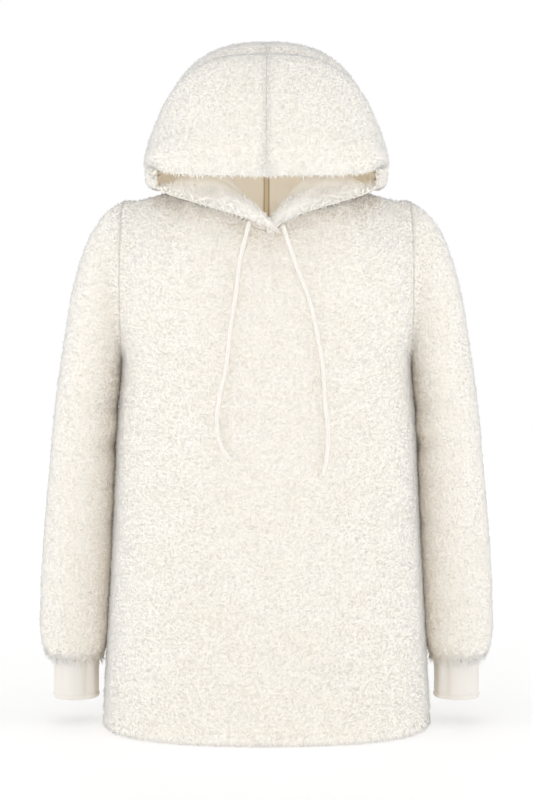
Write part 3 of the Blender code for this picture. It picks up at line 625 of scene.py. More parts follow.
bodySections = readTable(("z", "halfWidth", "front", "back", "squareness"), (
    (-0.725, 0.218, 0.150, 0.144, 2.35),
    (-0.625, 0.213, 0.147, 0.140, 2.35),
    (-0.525, 0.208, 0.142, 0.134, 2.35),
    (-0.425, 0.203, 0.136, 0.128, 2.40),
    (-0.330, 0.199, 0.130, 0.123, 2.40),
    (-0.285, 0.196, 0.127, 0.120, 2.40),
    (-0.235, 0.192, 0.124, 0.117, 2.40)))
# soft troughs, and ridges where the depth is below nothing: side, middle, half width across,
# half length, depth, and lean from upright in degrees
bodyCreases = readTable(("side", "x", "z", "halfWidth", "halfLength", "depth", "lean"), (
    (-1, -0.138, -0.375, 0.028, 0.185, 0.0060, 0),
    (-1, 0.142, -0.425, 0.026, 0.215, 0.0050, 0),
    (-1, -0.060, -0.580, 0.034, 0.180, 0.0030, 0),
    (-1, 0.052, -0.615, 0.030, 0.145, 0.0034, 0),
    (1, -0.120, -0.390, 0.030, 0.210, 0.0055, 0),
    (1, 0.126, -0.380, 0.030, 0.180, 0.0060, 0),
    (1, 0.010, -0.570, 0.036, 0.190, 0.0035, 0),
    (-1, -0.128, -0.205, 0.011, 0.052, 0.0022, -38),
    (-1, 0.133, -0.212, 0.010, 0.060, 0.0024, 32),
    (-1, 0.118, -0.268, 0.012, 0.070, 0.0018, 18),
    (-1, -0.152, -0.300, 0.010, 0.080, -0.0014, -8),
    (-1, -0.020, -0.655, 0.018, 0.075, 0.0014, 6),
    (-1, 0.128, -0.640, 0.016, 0.085, 0.0018, -5),
    (-1, -0.140, -0.640, 0.018, 0.080, 0.0016, 7),
    (1, -0.130, -0.210, 0.011, 0.058, 0.0024, -34),
    (1, 0.128, -0.200, 0.012, 0.050, 0.0020, 40),
    (1, 0.070, -0.640, 0.016, 0.085, 0.0018, 4),
    (1, -0.060, -0.630, 0.018, 0.090, 0.0016, -6),
    (1, -0.030, -0.130, 0.016, 0.060, 0.0014, 76)))
# warm shade where the hood's edge lies over the front: sideways places and heights of its line
underHood = {"line": ((0.0, -0.095), (0.033, -0.072), (0.068, -0.058), (0.102, -0.046), (0.140, -0.030)),
             "width": 0.011, "share": 0.8, "end": 0.150}


def bodySurface(side):
    # below the underarm level a rounded rectangle: x = width cos^(2/n), y = depth sin^(2/n);
    # above it each column rises to the top edge on an arc, the outermost on the armhole's oval
    def surface(rises, columns):
        turn = np.pi * columns / 24.0
        cosine, sine = np.cos(turn), np.abs(np.sin(turn))
        z = bodySizes["hemZ"] + (bodySizes["underarmZ"] - bodySizes["hemZ"]) * np.minimum(rises, 1.0)
        width = smoothAt(bodySections["z"], bodySections["halfWidth"], z)[:, None]
        depth = smoothAt(bodySections["z"], bodySections["front" if side < 0 else "back"], z)[:, None]
        power = 2.0 / smoothAt(bodySections["z"], bodySections["squareness"], z)[:, None]
        base = np.stack([-width * np.sign(cosine) * np.abs(cosine)**power, side * depth * sine**power,
                         np.broadcast_to(z[:, None], (len(z), len(turn)))], axis=-1)
        top = topEdge(columns, side)
        edge = np.abs(cosine)
        more = bodySizes["armRounding"] - bodySizes["centreRounding"]
        rounding = np.radians(bodySizes["centreRounding"] + more * ease(edge / bodySizes["roundedFrom"]))
        rise = np.clip(rises - 1.0, 0.0, 1.0)[:, None]
        middleZ = np.sin(rounding * rise) / np.sin(rounding)
        middleY = (np.cos(rounding * rise) - np.cos(rounding)) / (1.0 - np.cos(rounding))
        share = edge**bodySizes["ovalHold"]
        shareZ = share * 0.5 * (1.0 - np.cos(np.pi * rise)) + (1.0 - share) * middleZ
        x = base[..., 0] + (top[:, 0] - base[..., 0]) * ease(rise)
        y = top[:, 1] + (base[..., 1] - top[:, 1]) * middleY
        y = y + side * bodySizes["armholeHalfDepth"] * edge**bodySizes["ovalSpread"] * np.sin(np.pi * rise)
        z = base[..., 2] + (top[:, 2] - base[..., 2]) * shareZ
        upper = np.stack([x, y, z], axis=-1)
        return np.where(rises[:, None, None] > 1.0, upper, base)
    return surface


def topEdge(columns, side):
    # shoulder seam, neck seam, shoulder seam
    near = np.minimum(columns, 24.0 - columns)
    share = np.clip(near / 6.0, 0.0, 1.0)[:, None]
    shoulder = np.array([bodySizes["armholeX"], 0.0, bodySizes["shoulderZ"]])
    seam = shoulder * (1.0 - share) + np.array([neckShape["halfWidth"], 0.0, 0.0]) * share
    edge = np.where(near[:, None] < 6.0, seam, neckPoint(np.clip((near - 6.0) / 6.0, 0.0, 1.0), side))
    edge[:, 0] *= np.where(columns < 12.0, -1.0, 1.0)
    return edge


def bodyGrid(side):
    # the surface cut into even steps, and the direction out of it
    surface = bodySurface(side)
    columns = evenSteps(surface, 0.0, 24.0, np.linspace(0.0, 2.0, 20), bodySizes["columns"], False)
    someColumns = np.linspace(2.0, 22.0, 15)
    lower = evenSteps(surface, 0.0, 1.0, someColumns, bodySizes["rows"][0], True)
    upper = evenSteps(surface, 1.0, 2.0, someColumns, bodySizes["rows"][1], True)
    rises = np.concatenate([lower, upper[1:]])
    solid = surface(rises, columns)
    outward = gridNormals(solid, False)
    if np.mean(outward[5:60, :, 1]) * side < 0:
        outward = -outward
    return columns, rises, solid, outward


def foldBody(columns, rises, solid, outward, side):
    # every crease pressed in, then the bend at the underarm level softened by passes of the mean
    # of a point and its neighbours in the column
    dips = np.zeros(solid.shape[:2])
    for row in rowsOf(bodyCreases):
        if row["side"] != side:
            continue
        lean = np.radians(row["lean"])
        dx, dz = solid[..., 0] - row["x"], solid[..., 2] - row["z"]
        dips += crease(dx * np.cos(lean) - dz * np.sin(lean), dx * np.sin(lean) + dz * np.cos(lean),
                       row["halfWidth"], row["halfLength"], row["depth"])
    solid = pressIn(solid, outward, dips)
    softer = solid.copy()
    for _ in range(bodySizes["softPasses"]):
        softer[1:-1] = 0.5 * softer[1:-1] + 0.25 * (softer[:-2] + softer[2:])
    inPanel = 1.0 - bell(np.minimum(columns, 24.0 - columns) / bodySizes["softFromSeam"])
    level = bell((rises - bodySizes["softAt"]) / bodySizes["softSpread"])
    weight = level[:, None, None] * inPanel[None, :, None]
    solid = solid + (softer - solid) * weight
    turned = gridNormals(solid, False)
    turned = turned * np.sign(np.mean(outward * turned))
    return solid, unit(outward + (turned - outward) * weight)


def bodyPanel(name, node, side, seed):
    # the ground lies a pile's depth inside the solid, raised beside the sleeve and filled up
    # towards the armhole; the wrong side lies a wall's thickness inside
    columns, rises, solid, outward = bodyGrid(side)
    solid, outward = foldBody(columns, rises, solid, outward, side)
    fromHem = solid[..., 2] - bodySizes["hemZ"]
    fromSeam = np.minimum(columns, 24.0 - columns)[None, :] * bodySizes["columnWidth"]
    fromTop = (2.0 - rises)[:, None] * bodySizes["riseHeight"]
    above = (rises - 1.0)[:, None]

    # directions at the seams are shared with the piece on the other side
    last = bodySizes["rows"][0]
    centre = np.array([0.0, 0.0, 0.5 * (bodySizes["shoulderZ"] + bodySizes["underarmZ"])])
    nearArm = bell(fromSeam / bodySizes["armTurn"]) * ease(above / bodySizes["armTurnRise"])
    radial = unit(solid * np.array([0.0, 1.0, 1.0]) - centre)
    outward = unit(outward * (1.0 - nearArm[..., None]) + radial * nearArm[..., None])
    for column, sign in ((0, -1.0), (-1, 1.0)):
        outward[:last + 1, column] = (sign, 0.0, 0.0)
        outward[last:, column] = radial[last:, column]
    top = solid[-1]
    atNeck = (np.abs(top[:, 0]) < neckShape["halfWidth"] + 1e-4)[:, None]
    topOut = np.where(atNeck, -neckInward(top), (0.0, 0.0, 1.0))
    nearTop = ease(1.0 - (2.0 - rises) / bodySizes["topTurn"])[:, None, None]
    outward = unit(outward * (1.0 - nearTop) + topOut * nearTop)

    besideSleeve = bell(fromSeam / cloth["besideWidth"]) * np.ones((len(rises), 1))
    stitches = bell((fromHem - bodySizes["hemDepth"]) / cloth["stitchWidth"])
    depth = (cloth["pileDepth"] * (1.0 - cloth["besideRise"] * besideSleeve)
             - armholeFill(fromSeam, outward) * ease(above / bodySizes["fillRise"])
             + cloth["lumps"] * softWaves(solid, cloth["lumpSize"], 3)
             + cloth["seamDip"] * bell(fromTop / cloth["seamWidth"])
             + cloth["edgeRound"] * np.clip(1.0 - fromHem / 0.005, 0.0, 1.0)**2
             + cloth["stitchDip"] * stitches)
    outer = pressIn(solid, outward, depth)
    ratio = cloth["ratio"]
    thick = np.where(fromHem < bodySizes["hemDepth"], cloth["turnedFleece"], cloth["fleece"])
    inward = outward.copy()
    inward[..., 2] *= np.clip(fromHem / 0.02, 0.0, 1.0)
    inner = pressIn(solid, unit(inward), thick)[::ratio, ::ratio]
    half = 0.5 * cloth["seamGap"]
    for grid, rows in ((outer, last), (inner, last // ratio)):
        for column, sign in ((0, -1.0), (-1, 1.0)):
            grid[rows:, column, 0] = sign * (bodySizes["armholeX"] - half)
            grid[:rows + 1, column, 1] = side * half
        overShoulder = np.abs(grid[-1, :, 0]) > neckShape["halfWidth"]
        grid[-1, overShoulder, 1] = side * half
        grid[..., 2] = np.maximum(grid[..., 2], bodySizes["hemZ"])
    panel = shellPiece(name, outer, inner, False, outward, [ground, knits["wrongSide"]])

    # the pile hangs over the hem and leans over the armhole's seam
    lean = np.zeros_like(outer)
    lean[..., 2] = -bodyPile["fall"] - bodyPile["hemFall"] * ease(1.0 - fromHem / bodyPile["hemComb"])
    atSeam = bell(fromSeam / bodyPile["seamComb"]) * (above > 0.0)
    lean[..., 0] = bodyPile["overSeam"] * atSeam * np.where(columns < 12.0, -1.0, 1.0)
    stretch = ((1.0 + bodyPile["hemLonger"] * ease(1.0 - fromHem / bodyPile["hemLong"]))
               * (1.0 + bodyPile["besideLonger"] * besideSleeve) * (1.0 - bodyPile["stitchShorter"] * stitches))
    edge = np.interp(np.abs(outer[..., 0]), *zip(*underHood["line"]))
    shade = (underHood["share"] * bell((outer[..., 2] - edge) / underHood["width"])
             * (outer[..., 1] < 0.0) * (np.abs(outer[..., 0]) < underHood["end"]))
    shade = (shade + bodyPile["sideShade"] * bell(fromSeam / bodyPile["sideWidth"]) * (above < 0.0)
             + bodyPile["stitchShade"] * stitches)
    crowd = bodyPile["crowd"] * bell(fromTop / bodyPile["crowdWidth"]) * np.ones(outer.shape[:2])
    found = scatter(outer, [outward, lean, stretch, shade], False, pileSizes["perSquareMetre"], seed, crowd)
    for turn in (1, -1):
        strip = [field[:, ::turn] for field in (outer, outward, lean, 0.5 * stretch, shade)]
        found = joinPlaces(found, scatterSeam(strip, seed + 3 + turn))
    places, fields = found
    # combed into teeth at the hem
    atHem = ease(1.0 - (places[:, 2] - bodySizes["hemZ"]) / bodyPile["toothHeight"])
    teeth = np.sin(2.0 * np.pi * places[:, 0] / bodyPile["toothWidth"])
    fields[2] = fields[2] * (1.0 + bodyPile["toothDepth"] * atHem * teeth)
    fur = growCurls(name + "Pile", places, unit(fields[0]), *fields[1:], pileSizes, seed + 1)
    for piece in (panel, fur):
        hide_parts(node)
    reportSheet(name, 0.5 * (outer + pressIn(solid, outward, thick)))
    return panel, fur


def reportSheet(name, grid):
    # mean surface's widest row, longest column and area
    wide = np.linalg.norm(np.diff(grid, axis=1), axis=-1).sum(axis=1).max()
    tall = np.linalg.norm(np.diff(grid, axis=0), axis=-1).sum(axis=0).max()
    diagonals = np.cross(grid[1:, 1:] - grid[:-1, :-1], grid[1:, :-1] - grid[:-1, 1:])
    print("sheet", name, round(float(wide), 3), round(float(tall), 3),
          round(float(0.5 * np.linalg.norm(diagonals, axis=-1).sum()), 4))


# each cut's width and length, and its area
for name, node, side, seed in (("frontPanel", "front_body", -1, 11), ("backPanel", "back_body", 1, 21)):
    panel, fur = bodyPanel(name, node, side, seed)
print("front and back made")


# ---- sleeves

sleeveSizes = {"rows": 120, "columns": 66, "length": 0.62, "capTurn": 0.040, "endTurn": 0.015, "foldEnd": 0.06,
               "bodySpread": 0.7, "bodyFrom": 0.02, "bodyRise": 0.1, "capWidth": 0.014, "underFrom": 0.35,
               "underRise": 0.5, "gathers": 13, "gatherDepth": 0.0012, "gatherLength": 0.020,
               "gatherFrom": 0.004}
sleevePile = {"fall": 0.2, "endFall": 0.7, "endComb": 0.03, "overSeam": 0.25, "seamComb": 0.005, "length": 0.7,
              "endLonger": 1.2, "endLong": 0.02, "shade": 0.75, "backSpread": 0.9, "frontSpread": 1.0,
              "shadeFrom": 0.10, "shadeRise": 0.25}
sleeveSections = readTable(("run", "outerX", "outerZ", "innerX", "innerZ", "halfDepth", "centreY"), (
    (0.00, 0.1920, -0.0260, 0.1920, -0.2350, 0.060, 0.000),
    (0.04, 0.2140, -0.0350, 0.1930, -0.2380, 0.064, 0.000),
    (0.08, 0.2310, -0.0540, 0.1942, -0.2410, 0.068, 0.001),
    (0.13, 0.2450, -0.0820, 0.1956, -0.2450, 0.070, 0.002),
    (0.18, 0.2560, -0.1150, 0.1962, -0.2500, 0.071, 0.003),
    (0.24, 0.2650, -0.1520, 0.1967, -0.2570, 0.071, 0.004),
    (0.31, 0.2720, -0.1950, 0.1975, -0.2680, 0.070, 0.005),
    (0.38, 0.2790, -0.2400, 0.1987, -0.2850, 0.068, 0.006),
    (0.46, 0.2860, -0.2900, 0.2007, -0.3150, 0.065, 0.007),
    (0.58, 0.2940, -0.3700, 0.2038, -0.3800, 0.061, 0.008),
    (0.70, 0.3010, -0.4500, 0.2070, -0.4530, 0.058, 0.008),
    (0.81, 0.3060, -0.5200, 0.2104, -0.5205, 0.055, 0.008),
    (0.89, 0.3080, -0.5750, 0.2132, -0.5750, 0.053, 0.008),
    (0.94, 0.3065, -0.6080, 0.2155, -0.6080, 0.051, 0.008),
    (0.97, 0.3030, -0.6240, 0.2195, -0.6240, 0.047, 0.008),
    (0.99, 0.2975, -0.6330, 0.2235, -0.6330, 0.041, 0.008),
    (1.00, 0.2890, -0.6380, 0.2230, -0.6380, 0.033, 0.008)))
# across the sleeve: height, half height, depth, where it lies round the sleeve from its outer
# side (degrees) and its half spread; a depth below nothing is a ridge
sleeveCreases = readTable(("z", "halfHeight", "depth", "turn", "spread"), (
    (-0.300, 0.016, 0.0045, 128, 55),
    (-0.352, 0.015, 0.0050, 150, 60),
    (-0.404, 0.017, 0.0036, 120, 50),
    (-0.560, 0.018, 0.0040, 70, 60),
    (-0.328, 0.010, -0.0016, 140, 40),
    (-0.455, 0.012, 0.0018, 165, 40),
    (-0.505, 0.014, 0.0016, 60, 45),
    (-0.595, 0.008, 0.0016, 100, 45),
    (-0.600, 0.009, 0.0018, 250, 50),
    (-0.380, 0.013, 0.0024, 235, 45),
    (-0.240, 0.014, 0.0018, 215, 40)))


def sleeveSurface(runs, turns):
    # ellipses between an outer and an inner point: x and z = middle + half cos, y = centre - depth sin
    sections = sleeveSections
    at = {key: smoothAt(sections["run"], sections[key], runs)[:, None] for key in sections}
    x = 0.5 * (at["outerX"] + at["innerX"]) + 0.5 * (at["outerX"] - at["innerX"]) * np.cos(turns)
    y = at["centreY"] - at["halfDepth"] * np.sin(turns)
    z = 0.5 * (at["outerZ"] + at["innerZ"]) + 0.5 * (at["outerZ"] - at["innerZ"]) * np.cos(turns)
    return np.stack([x, y, z], axis=-1)


def sleeveGrid():
    # the surface in even steps with its creases pressed in, and the direction out of it, which
    # turns into the plane of the first and of the last ring
    turns = 2.0 * np.pi * np.arange(sleeveSizes["columns"]) / sleeveSizes["columns"]
    runs = evenSteps(sleeveSurface, 0.0, 1.0, turns, sleeveSizes["rows"], True)
    solid = sleeveSurface(runs, turns)
    centre = solid.mean(axis=1, keepdims=True)
    outward = gridNormals(solid, True)
    if np.mean(np.sum(outward * (centre - solid), axis=-1)) > 0:
        outward = -outward
    dips = np.zeros(solid.shape[:2])
    for row in rowsOf(sleeveCreases):
        dips += (row["depth"] * bell(roundFrom(turns, row["turn"]) / row["spread"])
                 * bell((solid[..., 2] - row["z"]) / row["halfHeight"]))
    dips *= ease((1.0 - runs) / sleeveSizes["foldEnd"])[:, None]
    solid = pressIn(solid, outward, dips)
    for row, weight in ((0, ease(1.0 - runs / sleeveSizes["capTurn"])),
                        (-1, ease(1.0 - (1.0 - runs) / sleeveSizes["endTurn"]))):
        radial = unit(solid[row] - centre[row])
        outward = unit(outward * (1.0 - weight)[:, None, None] + radial * weight[:, None, None])
    return turns, runs, solid, outward


def sleevePiece(label, side, seed):
    # ground and wrong side as on the body: raised beside the body, filled up towards the armhole,
    # and gathered at the cuff in waves sin(13 turn + 1.3 sin(3 turn))
    turns, runs, solid, outward = sleeveGrid()
    sizes = sleeveSizes
    fromTop, fromEnd = runs[:, None] * sizes["length"], (1.0 - runs)[:, None] * sizes["length"]
    below = ease((runs - sizes["bodyFrom"]) / sizes["bodyRise"])[:, None]
    besideBody = np.maximum(bell((turns - np.pi) / sizes["bodySpread"]) * below,
                            bell(fromTop / sizes["capWidth"]))
    notUnder = ease((np.abs(turns - np.pi) - sizes["underFrom"]) / sizes["underRise"])
    waves = np.sin(sizes["gathers"] * turns + 1.3 * np.sin(3 * turns))
    depth = (cloth["pileDepth"] * (1.0 - cloth["besideRise"] * besideBody)
             - armholeFill(fromTop, outward) * notUnder
             + cloth["lumps"] * softWaves(solid, cloth["lumpSize"], 4)
             + sizes["gatherDepth"] * bell(fromEnd / sizes["gatherLength"]) * waves
             * ease(fromEnd / sizes["gatherFrom"]))
    outer = pressIn(solid, outward, depth)
    ratio = cloth["ratio"]
    inner = pressIn(solid, outward, np.full(depth.shape, cloth["fleece"]))[::ratio, ::ratio]
    for grid in (outer, inner):
        grid[0, :, 0] = bodySizes["armholeX"] + 0.5 * cloth["seamGap"]
        grid[-1, :, 2] = cuffSizes["topZ"] + cloth["seamGap"]
    mirror = np.array([side, 1.0, 1.0])
    shell = shellPiece("sleeve" + label, outer * mirror, inner * mirror, True, outward * mirror,
                       [ground, knits["wrongSide"]])

    # the pile hangs over the cuff and leans over the armhole's seam, and beside the body its colour carries
    # painted shade, darker and warmer
    comb = sleevePile
    lean = np.zeros_like(outer)
    lean[..., 2] = -comb["fall"] - comb["endFall"] * ease(1.0 - fromEnd / comb["endComb"])
    lean[..., 0] = -comb["overSeam"] * side * bell(fromTop / comb["seamComb"])
    stretch = comb["length"] + comb["endLonger"] * ease(1.0 - fromEnd / comb["endLong"])
    stretch = stretch * np.ones(outer.shape[:2])
    spread = np.where(turns > np.pi, comb["backSpread"], comb["frontSpread"])
    shade = (comb["shade"] * bell((turns - np.pi) / spread)
             * ease((runs - comb["shadeFrom"]) / comb["shadeRise"])[:, None])
    found = scatter(outer * mirror, [outward * mirror, lean, stretch, shade], True,
                    pileSizes["perSquareMetre"], seed)
    strip = [np.swapaxes(np.concatenate([field, field[:, :1]], axis=1), 0, 1)
             for field in (outer * mirror, outward * mirror, lean, 0.5 * stretch, shade)]
    places, fields = joinPlaces(found, scatterSeam(strip, seed + 3))
    fur = growCurls("sleeve" + label + "Pile", places, unit(fields[0]), *fields[1:], pileSizes, seed + 1)
    for piece in (shell, fur):
        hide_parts("sleeve_" + label.lower())
    reportSheet("sleeve" + label, np.concatenate([outer, outer[:, :1]], axis=1))
    return shell, fur


# ---- cuffs

cuffSizes = {"topZ": -0.6383, "endZ": -0.691, "centre": (0.2575, 0.008), "wall": 0.0028, "columns": 96,
             "rows": 54, "stitchUp": 0.0072, "stitchWidth": 0.0007, "stitchDip": 0.0007,
             "stitchPitch": 0.0032, "stitchRadius": 0.0315, "thinner": 0.0008, "thinUp": 0.0012}
cuffProfile = readTable(("z", "radius"), (
    (-0.6910, 0.0300), (-0.6895, 0.0310), (-0.6850, 0.0311), (-0.6838, 0.0306), (-0.6800, 0.0305),
    (-0.6643, 0.0304), (-0.6453, 0.0310), (-0.6383, 0.0320)))
# upright soft folds: turn from the outer side in degrees, half spread, depth at the top and at the end
cuffFolds = readTable(("turn", "spread", "top", "end"), (
    (126, 10, 0.0036, 0.0016), (62, 9, 0.0018, 0.0005), (96, 14, -0.0008, 0.0), (20, 12, 0.0016, 0.0006),
    (165, 12, 0.0018, 0.0008), (215, 12, 0.0026, 0.0010), (262, 10, 0.0020, 0.0005),
    (318, 13, 0.0026, 0.0010)))


def cuffPiece(label, side):
    # level rings from the profile, with upright troughs, a sunk line of stitches and a rounded end
    sizes = cuffSizes
    turns = 2.0 * np.pi * np.arange(sizes["columns"]) / sizes["columns"]
    z = np.linspace(sizes["topZ"], sizes["endZ"], sizes["rows"] + 1)
    radius = smoothAt(cuffProfile["z"], cuffProfile["radius"], z)[:, None] * np.ones(len(turns))
    share = ((z - sizes["endZ"]) / (sizes["topZ"] - sizes["endZ"]))[:, None]
    for row in rowsOf(cuffFolds):
        deep = row["end"] + (row["top"] - row["end"]) * share
        radius = radius - deep * bell(roundFrom(turns, row["turn"]) / row["spread"])
    up = (z - sizes["endZ"])[:, None]
    count = round(2.0 * np.pi * sizes["stitchRadius"] / sizes["stitchPitch"])
    line = bell((up - sizes["stitchUp"]) / sizes["stitchWidth"])
    radius = radius - sizes["stitchDip"] * line * (0.65 + 0.35 * np.cos(count * turns))
    wall = sizes["wall"] - sizes["thinner"] * np.clip(1.0 - up / sizes["thinUp"], 0.0, 1.0)

    def rings(size, levels):
        x = side * (sizes["centre"][0] + size * np.cos(turns))
        y = sizes["centre"][1] - size * np.sin(turns)
        return np.stack([x, y, np.broadcast_to(levels[:, None], x.shape)], axis=-1)

    outer, ratio = rings(radius, z), cloth["ratio"]
    inner = rings(radius - wall, z)[::ratio, ::ratio]
    outward = rings(np.ones_like(radius), z) - rings(np.zeros_like(radius), z)
    cuff = shellPiece("cuff" + label, outer, inner, True, outward, [knits["cuffCloth"]] * 2)
    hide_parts("cuff_" + label.lower())
    reportSheet("cuff" + label, np.concatenate([outer, outer[:, :1]], axis=1))
    return cuff


# width and length of each cut, and the sleeve's area
for label, side, seed in (("Left", -1, 31), ("Right", 1, 41)):
    shell, fur = sleevePiece(label, side, seed)
    cuff = cuffPiece(label, side)
print("sleeves and cuffs made")


# ---- hood

# columns run from 0 at the crown over 12 at the side to 24 at the throat, runs from the free edge
# to the neck seam; turnedIn is the turned edge's width at the brim, at the corner and what the
# throat adds to that
hoodSizes = {"rows": 135, "columns": 90, "seamLength": 0.614, "channel": 0.027,
             "turnedIn": (0.026, 0.012, 0.012), "turnedFrom": 8.0, "roll": 0.0022, "rollWidth": 0.004,
             "fade": 3.0, "thinThroat": 0.45, "thinCorner": 0.55, "cornerAt": 2.5, "cornerSpread": 2.2,
             "crossReach": 0.016, "crossLift": 0.013, "crossRise": 0.008, "crossRun": 0.12, "crossDelay": 0.50,
             "crossTurn": 28.0, "evenOut": 1.63, "ownEven": 0.25, "ontoSeam": 0.047, "seamTurn": 0.03,
             "pileShare": 0.8, "stitchShare": 1.3, "stitchAt": 1.02, "centreDip": 0.0003, "centreWidth": 0.003}
hoodPile = {"comb": 0.15, "brimComb": 0.55, "brimWidth": 0.030, "throatCalm": 0.8, "length": 0.85,
            "brimLonger": 1.05, "stitchShorter": 0.7, "centreShorter": 0.2, "shade": 0.35, "shadeAt": 0.238,
            "shadeWidth": 0.010, "shadeReach": 0.060, "crowd": 1.2, "crowdWidth": 0.004, "inside": 0.9,
            "insideLonger": 0.9, "insideComb": 0.75, "insideTurn": 1.6, "insideTo": 1.3}
hoodLoops = readTable(("run", "topY", "topZ", "sideX", "sideY", "sideZ", "roundX", "roundY", "roundZ"), (
    (0.000, -0.155, -0.009, 0.1470, -0.052, 0.014, 0.50, 0.50, 0.80),
    (0.044, -0.159, 0.018, 0.1590, -0.036, 0.016, 0.60, 0.60, 0.70),
    (0.120, -0.149, 0.064, 0.1630, -0.006, 0.018, 0.72, 0.76, 0.78),
    (0.210, -0.128, 0.115, 0.1620, 0.022, 0.020, 0.76, 0.84, 0.84),
    (0.300, -0.092, 0.157, 0.1580, 0.040, 0.021, 0.70, 0.90, 1.00),
    (0.353, -0.060, 0.164, 0.1550, 0.047, 0.021, 0.74, 0.90, 0.94),
    (0.436, -0.015, 0.188, 0.1505, 0.054, 0.021, 0.80, 0.86, 0.80),
    (0.520, 0.035, 0.199, 0.1450, 0.058, 0.021, 0.76, 0.84, 0.76),
    (0.624, 0.092, 0.170, 0.1350, 0.056, 0.021, 0.80, 0.88, 0.80),
    (0.743, 0.126, 0.105, 0.1220, 0.047, 0.021, 0.88, 0.92, 0.88),
    (0.840, 0.127, 0.045, 0.1090, 0.031, 0.019, 0.94, 0.96, 0.94),
    (0.922, 0.105, 0.000, 0.0990, 0.013, 0.013, 0.98, 1.00, 0.98),
    (1.000, 0.078, -0.040, 0.0950, 0.000, 0.000, 1.00, 1.00, 1.00)))
throatArches = readTable(("turn", "edgeX", "edgeY", "edgeZ", "crestZ", "channel"), (
    (0.0, 0.1470, -0.0520, 0.0140, 0.0190, 0.044),
    (7.5, 0.1475, -0.0550, 0.0030, 0.0040, 0.080),
    (15.0, 0.1455, -0.0585, -0.0075, -0.0030, 0.110),
    (22.5, 0.1400, -0.0640, -0.0160, -0.0040, 0.140),
    (30.0, 0.1300, -0.0725, -0.0225, -0.0020, 0.170),
    (45.0, 0.1020, -0.0910, -0.0330, 0.0090, 0.220),
    (60.0, 0.0680, -0.1080, -0.0445, 0.0050, 0.260),
    (67.5, 0.0505, -0.1152, -0.0508, -0.0100, 0.280),
    (75.0, 0.0330, -0.1225, -0.0585, -0.0290, 0.300),
    (82.5, 0.0160, -0.1285, -0.0690, -0.0495, 0.350),
    (90.0, 0.0000, -0.1330, -0.0815, -0.0675, 0.420)))
# soft folds: distance from the free edge, sideways place, half width, half length sideways, depth
hoodCreases = readTable(("fromEdge", "x", "halfWidth", "halfLength", "depth"), (
    (0.240, 0.000, 0.012, 0.085, 0.0065),
    (0.218, 0.000, 0.008, 0.080, -0.0015),
    (0.345, 0.045, 0.014, 0.060, 0.0026),
    (0.420, 0.000, 0.016, 0.070, 0.0024),
    (0.500, 0.050, 0.014, 0.055, 0.0028)))


def hoodSide(runs, share):
    # quarter loop from centre top to the side: x = side sin^a, y and z = side + (top - side) cos^b
    at = {key: smoothAt(hoodLoops["run"], hoodLoops[key], runs)[:, None] for key in hoodLoops}
    sine, cosine = np.sin(0.5 * np.pi * share), np.abs(np.cos(0.5 * np.pi * share))
    return np.stack([at["sideX"] * sine**at["roundX"],
                     at["sideY"] + (at["topY"] - at["sideY"]) * cosine**at["roundY"],
                     at["sideZ"] + (at["topZ"] - at["sideZ"]) * cosine**at["roundZ"]], axis=-1)


def throatPart(runs, share):
    # half ellipses from the free edge to the neck seam, the turned edge taking its own share
    at = {key: smoothAt(throatArches["turn"], throatArches[key], 90.0 * share) for key in throatArches}
    edge = np.stack([at["edgeX"], at["edgeY"], at["edgeZ"]], axis=-1)
    seam = neckPoint(share, -1)
    run, hem = runs[:, None], hoodSizes["channel"] / hoodSizes["seamLength"]
    along = np.where(run < hem, at["channel"] * run / hem,
                     at["channel"] + (1.0 - at["channel"]) * (run - hem) / (1.0 - hem))
    across = 0.5 * (1.0 - np.cos(np.pi * along))[..., None]
    arch = edge * (1.0 - across) + seam * across
    arch[..., 2] += (at["crestZ"] - 0.5 * (edge[:, 2] + seam[:, 2])) * np.sin(np.pi * along)
    return arch


def hoodSurface(runs, columns):
    # side quarter for columns 0 to 12, throat arches for 12 to 24, faded into each other,
    # and the last stretch drawn onto the neck seam
    upper = hoodSide(runs, np.minimum(columns, 12.0) / 12.0)
    share = np.clip((columns - 12.0) / 12.0, 0.0, 1.0)
    fade = (np.cos(0.5 * np.pi * share)**hoodSizes["fade"])[None, :, None]
    join = hoodSide(runs, np.array([1.0])) - throatPart(runs, np.array([0.0]))
    lower = throatPart(runs, share) + fade * join
    low = (columns > 12.0)[None, :, None]
    grid = np.where(low, lower, upper)
    seam = np.where(low[0], neckPoint(share, -1), neckPoint(1.0 - np.minimum(columns, 12.0) / 12.0, 1))
    last, first = np.array([1.0]), np.array([0.0])
    end = np.where(low, throatPart(last, share) + fade * (hoodSide(last, last) - throatPart(last, first)),
                   hoodSide(last, np.minimum(columns, 12.0) / 12.0))
    return grid + ontoSeam(runs) * (seam - end)


def ontoSeam(runs):
    # from 0 to 1 over the last stretch before the neck seam
    return np.clip(1.0 - (1.0 - runs) / hoodSizes["ontoSeam"], 0.0, 1.0)[:, None, None]


def evenOut(directions, columns, width):
    # each column's direction is the bell-weighted mean of those around it
    weight = bell((columns[:, None] - columns[None, :]) / (width * 1.414))
    return unit(np.einsum("ij,rjk->rik", weight / weight.sum(axis=1, keepdims=True), directions))


